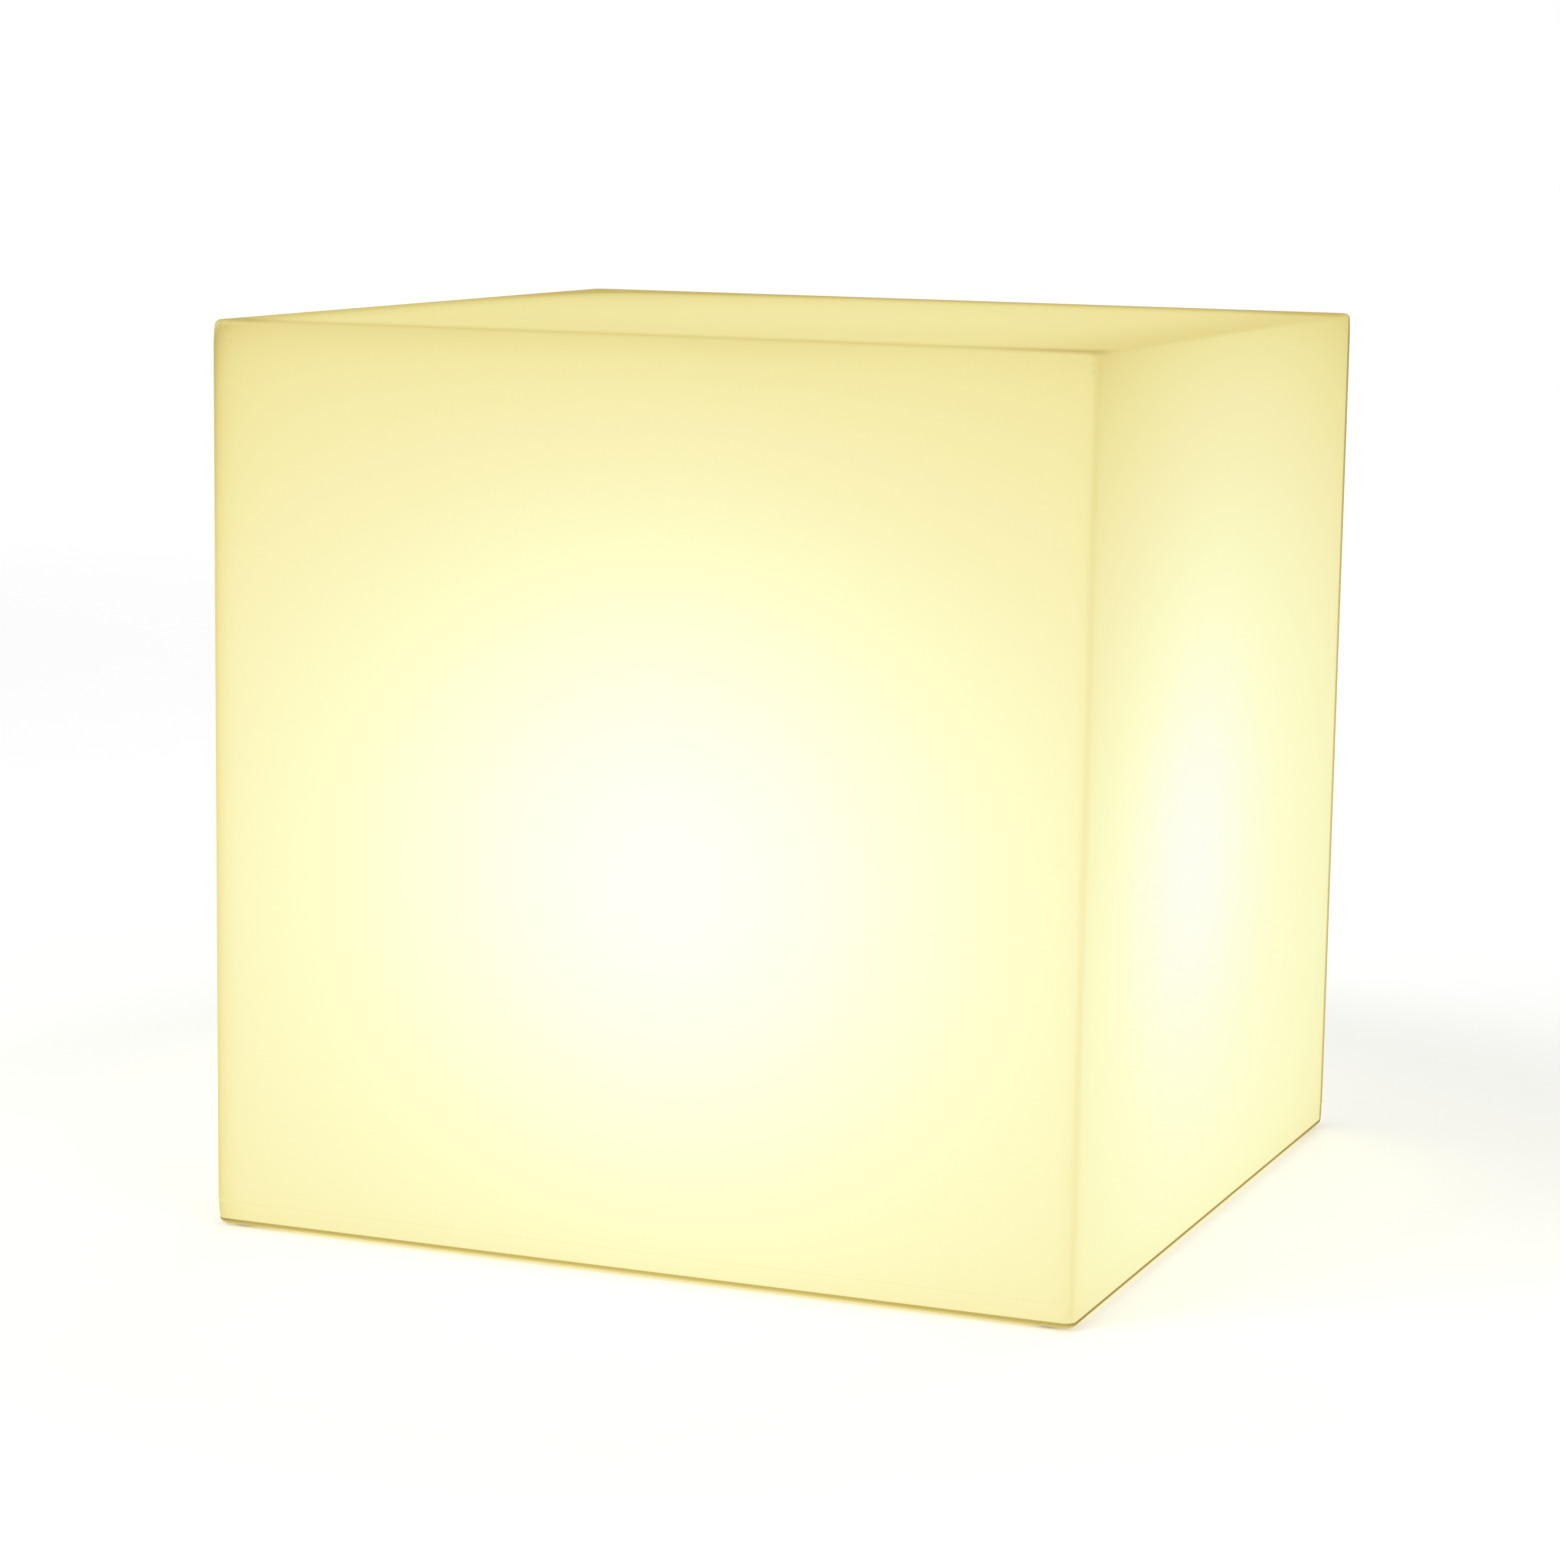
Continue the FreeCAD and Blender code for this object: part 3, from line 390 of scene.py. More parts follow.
@dataclass(frozen=True)
class EdgeShade:
    """Painted shade: the share of the glow that is taken away along the cube's edges.

    Places, widths and reaches are shares of the cube's side, and the rest are shares of the glow.
    """

    upright: float = 0.36
    upright_lean: float = 0.38
    upright_side: float = 0.18
    upright_rear: float = 0.30
    upright_reach: float = 0.009
    rear_wall_less: float = 0.5
    right_corner_less: float = 0.7
    broad: float = 0.09
    broad_reach: float = 0.05
    rear_line: float = 0.62
    rear_line_place: tuple[float, float] = (0.481, 0.486)
    top_front: float = 0.24
    top_side: float = 0.10
    top_reach: float = 0.024
    top_right_less: float = 0.6
    low_front: float = 0.64
    low_side: float = 0.84
    low_place: tuple[float, float] = (0.0060, 0.0074)
    floor_fade: float = 0.12
    floor_reach: float = 0.02
    top_bands: Profile = ((0.30, 0.044), (0.52, 0.085), (0.42, 0.06), (0.22, 0.10))
    rear_left: float = 0.3
    rear_left_width: float = 0.25
    turning_upright: float = 0.2
    turning_top: float = 0.18
    most_sides: float = 0.64
    most_top: float = 0.52
    most: float = 0.86

    def over(self, across: Field, depth: Field, height: Field, facing: Sequence[Field]) -> Field:
        """Painted shade at a place, as a share of the glow.

        Args:
            across: Place from left to right.
            depth: Place from front to rear.
            height: Height above the underside.
            facing: Squares of the normal's three parts.

        Returns:
            What is missing on the walls and on the top, each by how far the surface faces that way,
            and a little more where the normal is half way between two faces.
        """
        facing_x, facing_y, facing_z = facing
        # painted shade, heavier where the rounded edges turn between two faces
        turning = self.turning_upright * facing_x * facing_y
        turning = turning + self.turning_top * facing_z * (1.0 - facing_z)
        walls = self.on_walls(across, depth, height, facing_x, facing_y)
        return walls * (1.0 - facing_z) + self.on_top(across, depth) * facing_z + turning

    def on_walls(self, across: Field, depth: Field, height: Field, facing_x: Field,
                 facing_y: Field) -> Field:
        """Painted shade on the upright walls, as a share of the glow.

        Args:
            across: Place from left to right.
            depth: Place from front to rear.
            height: Height above the underside.
            facing_x: Square of the normal's X part.
            facing_y: Square of the normal's Y part.

        Returns:
            Exponentials of the distance from the upright edges, the top and the underside, a narrow
            line along the rear edges and one along the lower edge, added up. The rear wall's upright
            edges have less than the front's.
        """
        # painted shade that falls off with the distance from the upright edges
        inside = 0.5 - (facing_y * across.magnitude() + facing_x * depth.magnitude())
        strength = facing_y * (self.upright - self.upright_lean * across)
        strength = strength * (1.0 - self.rear_wall_less * depth.fade(-0.2, 0.2))
        strength = strength + facing_x * (self.upright_side + self.upright_rear * depth.fade(0.2, 0.5))
        at_corner = height.fade(0.8, 1.0) * across.fade(0.3, 0.5)
        strength = strength * (1.0 - self.right_corner_less * at_corner)
        broad = self.broad * (1.0 + height.fade(0.6, 0.95)) * facing_y * (0.5 - across)
        upright = strength * inside.near(self.upright_reach) + broad * inside.near(self.broad_reach)
        # painted shade: a dark line along the rear edges of the side walls
        rear_line = self.rear_line * facing_x * depth.fade(*self.rear_line_place)
        below_top = self.top_front * facing_y * (1.0 - self.top_right_less * across.fade(0.1, 0.4))
        below_top = (below_top + self.top_side * facing_x) * (1.0 - height).near(self.top_reach)
        # painted shadow of the gap under the cube: a dark line along the lower edge, and darker towards
        # the floor
        low_line = self.low_front * facing_y + self.low_side * facing_x
        low_line = low_line * (1.0 - height.fade(*self.low_place))
        above_floor = low_line + self.floor_fade * height.near(self.floor_reach)
        return (upright + rear_line + below_top).at_most(self.most_sides) + above_floor

    def on_top(self, across: Field, depth: Field) -> Field:
        """Painted shade on the top, as a share of the glow.

        Args:
            across: Place from left to right.
            depth: Place from front to rear.

        Returns:
            Bell curves from the four edges and round the rear left corner, added up.
        """
        # painted shade along the top's four edges and round its rear left corner
        edges = (depth + 0.5, 0.5 - depth, across + 0.5, 0.5 - across)
        bands = sum((peak * distance.squared().bell(width)
                     for distance, (peak, width) in zip(edges, self.top_bands)), start=0.0)
        from_corner = (across + 0.5).squared() + (0.5 - depth).squared()
        return (bands + self.rear_left * from_corner.bell(self.rear_left_width)).at_most(self.most_top)


@dataclass(frozen=True)
class GlowingPolyethylene:
    """Translucent moulded cube wall, lit from inside."""

    name: str = "glowing_polyethylene"
    side: float = 0.4
    underside: float = 0.001
    front: WallGlow = WallGlow(0.04, 0.439, 0.384, 0.313, 0.527, 0.133, 0.437, 0.098)
    flank: WallGlow = WallGlow(-0.111, 0.44, 0.243, 0.221, 0.63, 0.222, 0.56, 0.442)
    top_level: float = 0.335
    top_peak: float = 0.034
    top_width: float = 0.3
    under_level: float = 0.28
    outer_band: tuple[float, float] = (0.484, 0.490)
    speck_size: float = 0.0022
    speck_reach: float = 0.035
    speck_depth: float = 0.16
    base: Colour = (0.30, 0.27, 0.19)
    roughness: float = 0.48
    room_light: float = 0.72
    room_light_lost: float = 0.6
    grain_size: float = 0.0011
    grain_share: float = 0.05
    mottle_size: float = 0.009
    mottle_share: float = 0.02
    relief: float = 0.00006
    edges: EdgeShade = EdgeShade()

    def material(self) -> bpy.types.Material:
        """Build the glow from the place on the cube and the way the surface faces.

        The light that the room puts on the base colour is taken off the glow, and less of it in the
        recess and underneath, where less arrives.
        """
        graph = ShaderGraph(self.name)
        x, y, z = graph.parts(graph.place())
        across, depth = x / self.side, y / self.side
        height = (z - self.underside) / self.side
        facing_x, facing_y, facing_z = (part.squared() for part in graph.facing())
        up = graph.facing()[2].fade(-0.05, 0.05)

        front = self.front.over(across, height)
        flank = self.flank.over(depth, height)
        top = self.top_level + self.top_peak * (across.squared() + depth.squared()).bell(self.top_width)
        outer = across.magnitude().at_least(depth.magnitude()).fade(*self.outer_band)
        walls = front * facing_y + flank * facing_x
        hidden = (1.0 - outer) * (1.0 - facing_z) + (1.0 - up) * facing_z
        light = walls * outer + top * up * facing_z + self.under_level * hidden
        # painted shade along the edges and the lower edge takes its share off the glow
        missing = self.edges.over(across, depth, height, (facing_x, facing_y, facing_z))
        light = light * (1.0 - (missing * outer.at_least(facing_z)).at_most(self.edges.most))
        grain = graph.noise(self.grain_size, 1.0) - 0.5
        mottle = graph.noise(self.mottle_size, 2.0) - 0.5
        light = light * (1.0 + self.grain_share * grain + self.mottle_share * mottle)
        light = light * (1.0 - self.corner_specks(graph, across, depth, height))

        glow = graph.ramp(light, GLOW_COLOURS)
        lit = self.room_light * (1.0 - self.room_light_lost * hidden)
        glow = graph.blend(lit, glow, self.base, blend_type="SUBTRACT", clamp_result=True)
        graph.set("Emission Color", glow)
        graph.set("Emission Strength", 1.0)
        graph.set("Base Color", graph.blend(mottle + 0.5, self.base, tuple(0.93 * c for c in self.base)))
        graph.set("Roughness", self.roughness + 0.08 * grain)
        graph.set("Specular IOR Level", 0.0)
        graph.bump(graph.noise(self.grain_size, 2.0) + 0.6 * graph.noise(0.004, 1.0), self.relief)
        return graph.material

    def corner_specks(self, graph: ShaderGraph, across: Field, depth: Field, height: Field) -> Field:
        """Share of the glow lost in small specks, where powder bridges in the upper corners.

        Args:
            graph: Graph of the material.
            across: Place from left to right.
            depth: Place from front to rear.
            height: Height above the underside.

        Returns:
            The upper end of a fine noise, fading as a bell curve of the distance from the nearest
            upper corner.
        """
        sideways = (0.5 - across.magnitude()).squared() + (0.5 - depth.magnitude()).squared()
        near = (sideways + (1.0 - height).squared()).bell(self.speck_reach)
        return self.speck_depth * near * graph.noise(self.speck_size, 1.0).fade(0.58, 0.70)


@dataclass(frozen=True)
class MouldedPlastic:
    """Opaque moulded plastic with a fine grain and slight clouds in its colour."""

    name: str
    colour: Colour
    roughness: float = 0.45
    grain: float = 0.0006
    grain_depth: float = 0.00003
    cloud: float = 0.012
    cloud_share: float = 0.018

    def material(self) -> bpy.types.Material:
        """Build the material."""
        graph = ShaderGraph(self.name)
        cloud = graph.noise(self.cloud, 3.0)
        darker = tuple(c * (1.0 - 2.0 * self.cloud_share) for c in self.colour)
        graph.set("Base Color", graph.blend(cloud.fade(0.3, 0.7), self.colour, darker))
        grain = graph.noise(self.grain, 2.0)
        graph.set("Roughness", self.roughness + 0.1 * (grain - 0.5) + 0.04 * (cloud - 0.5))
        graph.bump(grain, self.grain_depth)
        return graph.material


@dataclass(frozen=True)
class SoftRubber:
    """Dark rubber: dull, with faint bloom and a soft grain."""

    name: str
    colour: Colour = (0.022, 0.022, 0.024)
    bloom: Colour = (0.055, 0.055, 0.056)
    roughness: float = 0.72

    def material(self) -> bpy.types.Material:
        """Build the material."""
        graph = ShaderGraph(self.name)
        bloom = graph.noise(0.006, 4.0, roughness=0.6)
        graph.set("Base Color", graph.blend(bloom.fade(0.45, 0.8), self.colour, self.bloom))
        grain = graph.noise(0.0009, 2.0)
        graph.set("Roughness", self.roughness + 0.15 * (grain - 0.5))
        graph.bump(grain, 0.00004)
        return graph.material


class Lay(Enum):
    """Which way a metal's fine marks run."""

    TURNED = "rings round the upright axis"
    DRAWN = "streaks along the upright axis"
    PLATED = "no direction"


@dataclass(frozen=True)
class WorkedMetal:
    """Metal with marks from how it was made and a little tarnish."""

    name: str
    colour: Colour
    lay: Lay = Lay.PLATED
    roughness: float = 0.3
    tarnish: Colour = (0.35, 0.30, 0.24)
    tarnish_share: float = 0.15

    def material(self) -> bpy.types.Material:
        """Build the material."""
        graph = ShaderGraph(self.name)
        scale = {
            Lay.TURNED: (150.0, 150.0, 6000.0),
            Lay.DRAWN: (5000.0, 5000.0, 150.0),
            Lay.PLATED: (2200.0, 2200.0, 2200.0),
        }[self.lay]
        marks = graph.noise(1.0, 2.0, graph.stretched(scale))
        cloud = graph.noise(0.004, 4.0, roughness=0.6)
        dull = cloud.fade(0.5, 0.9) * self.tarnish_share
        graph.set("Base Color", graph.blend(dull, self.colour, self.tarnish))
        graph.set("Metallic", 1.0)
        graph.set("Roughness", self.roughness + 0.18 * (marks - 0.5) + 0.25 * dull)
        graph.bump(marks, 0.000012)
        return graph.material


@dataclass(frozen=True)
class CircuitBoard:
    """Board with solder mask over faint copper tracks."""

    name: str
    mask: Colour
    track: Colour
    pitch: float = 0.0024

    def material(self) -> bpy.types.Material:
        """Build the material."""
        graph = ShaderGraph(self.name)
        bricks = graph.add("ShaderNodeTexBrick")
        graph.put(bricks.inputs["Vector"], graph.stretched((1.0, 1.0, 1.0)))
        bricks.inputs["Scale"].default_value = 1.0 / (8.0 * self.pitch)
        graph.put(bricks.inputs["Color1"], self.mask)
        graph.put(bricks.inputs["Color2"], tuple(0.9 * c for c in self.mask))
        graph.put(bricks.inputs["Mortar"], self.track)
        bricks.inputs["Mortar Size"].default_value = 0.03
        graph.set("Base Color", bricks.outputs["Color"])
        weave = graph.noise(0.0005, 2.0)
        graph.set("Roughness", 0.35 + 0.2 * (weave - 0.5))
        graph.bump(weave, 0.00002)
        return graph.material


@dataclass(frozen=True)
class LitPlastic:
    """Plastic or phosphor that gives off light, cloudy over its surface."""

    name: str
    colour: Colour
    light: Colour
    strength: float
    cloud: float = 0.008

    def material(self) -> bpy.types.Material:
        """Build the material."""
        graph = ShaderGraph(self.name)
        cloud = graph.noise(self.cloud, 3.0)
        dim = tuple(0.92 * c for c in self.light)
        graph.set("Base Color", graph.blend(cloud, self.colour, tuple(0.95 * c for c in self.colour)))
        graph.set("Emission Color", graph.blend(cloud, self.light, dim))
        graph.set("Emission Strength", self.strength)
        graph.set("Roughness", 0.4 + 0.1 * (cloud - 0.5))
        graph.bump(graph.noise(0.0006, 2.0), 0.00002)
        return graph.material


# Surfaces


@dataclass
class Skin:
    """A surface as arrays, with every face turned outwards.

    Attributes:
        points: Vertex places, n by 3.
        quads: Corner indices of the four-cornered faces, m by 4.
        triangles: Corner indices of the triangles, k by 3.
    """

    points: np.ndarray
    quads: np.ndarray
    triangles: np.ndarray

    def moved(self, x: float, y: float) -> "Skin":
        """The same surface shifted sideways."""
        return Skin(self.points + np.array([x, y, 0.0]), self.quads, self.triangles)

    @staticmethod
    def together(skins: Sequence["Skin"]) -> "Skin":
        """Several surfaces as one, their corner indices moved on by the points that come before."""
        before = np.cumsum([0] + [len(skin.points) for skin in skins[:-1]])
        return Skin(np.concatenate([skin.points for skin in skins]),
                    np.concatenate([skin.quads + start for skin, start in zip(skins, before)]),
                    np.concatenate([skin.triangles + start for skin, start in zip(skins, before)]))

    def piece(self, name: str, sharp: float = 35.0) -> bpy.types.Object:
        """Put the surface into a mesh object at the origin.

        Args:
            name: Name of the object.
            sharp: Edges that turn by more than this many degrees stay sharp.

        Returns:
            The linked object, with smooth shading.
        """
        corners = np.concatenate([self.quads.ravel(), self.triangles.ravel()]).astype(np.int32)
        totals = np.concatenate([np.full(len(self.quads), 4), np.full(len(self.triangles), 3)])
        starts = np.concatenate([[0], np.cumsum(totals)[:-1]]).astype(np.int32)
        mesh = bpy.data.meshes.new(name)
        mesh.vertices.add(len(self.points))
        mesh.vertices.foreach_set("co", self.points.astype(np.float32).ravel())
        mesh.loops.add(len(corners))
        mesh.loops.foreach_set("vertex_index", corners)
        mesh.polygons.add(len(totals))
        mesh.polygons.foreach_set("loop_start", starts)
        mesh.polygons.foreach_set("use_smooth", np.ones(len(totals), bool))
        mesh.update(calc_edges=True)
        mesh.validate()
        mesh.set_sharp_from_angle(angle=math.radians(sharp))
        made = bpy.data.objects.new(name, mesh)
        bpy.context.scene.collection.objects.link(made)
        return made


def loops_surface(rings: np.ndarray, start_pole: np.ndarray | None = None,
                  end_pole: np.ndarray | None = None) -> Skin:
    """Skin a stack of closed rings.

    Args:
        rings: Points, rows by columns by 3; each row is a closed ring, seen from outside with the
            next row after it and its columns running the way that faces outwards.
        start_pole: Point that closes the first ring, or none to join the last ring to the first.
        end_pole: Point that closes the last ring.

    Returns:
        The closed surface.
    """
    rows, columns, _ = rings.shape
    index = np.arange(rows * columns).reshape(rows, columns)
    following = np.roll(index, -1, axis=1)
    points = rings.reshape(-1, 3)
    if start_pole is None:
        lower, upper = index, np.roll(index, -1, axis=0)
        next_lower, next_upper = following, np.roll(following, -1, axis=0)
        triangles = np.empty((0, 3), int)
    else:
        lower, upper = index[:-1], index[1:]
        next_lower, next_upper = following[:-1], following[1:]
        points = np.vstack([points, start_pole, end_pole])
        first = np.full(columns, rows * columns)
        triangles = np.concatenate([
            np.stack([first, index[0], following[0]], axis=-1),
            np.stack([first + 1, following[-1], index[-1]], axis=-1)])
    quads = np.stack([lower, upper, next_upper, next_lower], axis=-1).reshape(-1, 4)
    return Skin(points, quads, triangles)


@dataclass
class SquareLoop:
    """A square with rounded corners as a closed ring of points, denser at its corners."""

    side_steps: int = 28
    corner_steps: int = 8

    def unit(self) -> tuple[np.ndarray, np.ndarray]:
        """Split the ring into its straight and corner shares.

        Returns:
            Two arrays of columns by 2. A ring of half width h and corner radius r is the first times
            (h - r) plus the second times r: along a side the first runs from -1 to 1 and the second
            is the side's normal; round a corner the first rests and the second is a quarter circle.
        """
        steps = np.linspace(-1.0, 1.0, self.side_steps, endpoint=False)
        spread = np.sin(steps * math.pi / 2.0)
        arc = np.linspace(0.0, math.pi / 2.0, self.corner_steps, endpoint=False)
        centre_x = np.concatenate([np.ones(self.side_steps), np.ones(self.corner_steps)])
        centre_y = np.concatenate([spread, np.ones(self.corner_steps)])
        round_x = np.concatenate([np.ones(self.side_steps), np.cos(arc)])
        round_y = np.concatenate([np.zeros(self.side_steps), np.sin(arc)])
        centres, rounds = [], []
        for quarter in range(4):
            cos, sin = (1, 0, -1, 0)[quarter], (0, 1, 0, -1)[quarter]
            for turned, x, y in ((centres, centre_x, centre_y), (rounds, round_x, round_y)):
                turned.append(np.stack([cos * x - sin * y, sin * x + cos * y], -1))
        return np.concatenate(centres), np.concatenate(rounds)

    def rings(self, half: np.ndarray, corner: np.ndarray, level: np.ndarray,
              roundness: np.ndarray) -> np.ndarray:
        """Rings of given half widths, corner radii and levels.

        Args:
            half: Half width of each ring.
            corner: Corner radius of each ring.
            level: Height of each ring.
            roundness: 0 keeps the square, 1 makes the ring a circle of radius half.

        Returns:
            Points, rings by columns by 3.
        """
        centres, rounds = self.unit()
        square = (half - corner)[:, None, None] * centres + corner[:, None, None] * rounds
        way = square / np.linalg.norm(square, axis=-1, keepdims=True)
        share = roundness[:, None, None]
        flat = (1.0 - share) * square + share * way * half[:, None, None]
        heights = np.broadcast_to(level[:, None, None], (*flat.shape[:2], 1))
        return np.concatenate([flat, heights], axis=-1)


def round_points(radius: np.ndarray, angle: np.ndarray, height: np.ndarray) -> np.ndarray:
    """Points (r cos a, r sin a, z) of arrays that spread over one grid."""
    return np.stack(np.broadcast_arrays(radius * np.cos(angle), radius * np.sin(angle), height), axis=-1)


def round_angles(columns: int) -> np.ndarray:
    """Even angles once round."""
    return np.linspace(0.0, TURN, columns, endpoint=False)


def rows(half: np.ndarray | float, corner: np.ndarray | float, level: np.ndarray | float,
         roundness: np.ndarray | float = 0.0) -> np.ndarray:
    """Rows of half width, corner radius, level and roundness, spread over the longest of them."""
    return np.stack(np.broadcast_arrays(half, corner, level, roundness), axis=-1)


def quarter_circle(steps: int) -> tuple[np.ndarray, np.ndarray]:
    """Sines and cosines of even angles from 0 to a quarter turn."""
    turn = np.linspace(0.0, math.pi / 2.0, steps)
    return np.sin(turn), np.cos(turn)


def turned_surface(profile: Profile, columns: int) -> Skin:
    """Turn a profile about the Z axis.

    Args:
        profile: Radii and heights from the axis round the outside back to the axis, clockwise when
            the radius runs to the right and the height up.
        columns: Steps round the axis.

    Returns:
        The closed surface. A point is (r cos a, r sin a, z) for the angle a.
    """
    radius, height = np.array(profile, float).T
    rings = round_points(radius[1:-1, None], round_angles(columns), height[1:-1, None])
    return loops_surface(rings, np.array([0.0, 0.0, height[0]]), np.array([0.0, 0.0, height[-1]]))


def combined(piece: bpy.types.Object, tools: Iterable[tuple[Skin, str]]) -> None:
    """Join solids to a piece or cut them from it, and keep the result as its mesh.

    Args:
        piece: The piece to change.
        tools: Each solid with "UNION" or "DIFFERENCE", in order.
    """
    solids = []
    for skin, operation in tools:
        solids.append(skin.piece(operation.lower()))
        step = piece.modifiers.new(operation.lower(), "BOOLEAN")
        step.object, step.operation, step.solver = solids[-1], operation, "EXACT"
    bpy.context.view_layer.update()
    graph = bpy.context.evaluated_depsgraph_get()
    made = bpy.data.meshes.new_from_object(piece.evaluated_get(graph))
    piece.modifiers.clear()
    old, piece.data = piece.data, made
    made.name = old.name
    for solid in solids:
        bpy.data.objects.remove(solid)


def post(radius: float, low: float, high: float, x: float, y: float, columns: int = 40) -> Skin:
    """Upright cylinder."""
    return turned_surface([(0, high), (radius, high), (radius, low), (0, low)], columns).moved(x, y)


# Sub-assemblies

NICKEL = WorkedMetal("nickel_plated_shell", (0.70, 0.67, 0.60), Lay.DRAWN, 0.22)


def corner_places(middle: float) -> list[tuple[float, float]]:
    """Four places, one near each corner of the base."""
    return [(side * middle, end * middle) for side in (-1, 1) for end in (-1, 1)]


def dress(nodes: Iterable[str], finish: Finish) -> None:
    """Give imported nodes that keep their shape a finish."""
    material = finish.material()
    for node in nodes:
        for place in frame["nodes"][node].material_slots:
            place.material = material
        log.info("node %s dressed in %s", node, finish.name)


def place_piece(piece: bpy.types.Object, body: str, slot: str, finish: Finish, *stands_for: str) -> None:
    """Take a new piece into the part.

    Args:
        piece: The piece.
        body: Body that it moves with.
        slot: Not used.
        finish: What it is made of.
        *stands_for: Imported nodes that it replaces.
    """
    piece.data.materials.clear()
    piece.data.materials.append(finish.material())
    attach(piece, body)
    if stands_for:
        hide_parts(*stands_for)
    log.info("piece %s: %d faces, rides on %s", piece.name, len(piece.data.polygons), body)


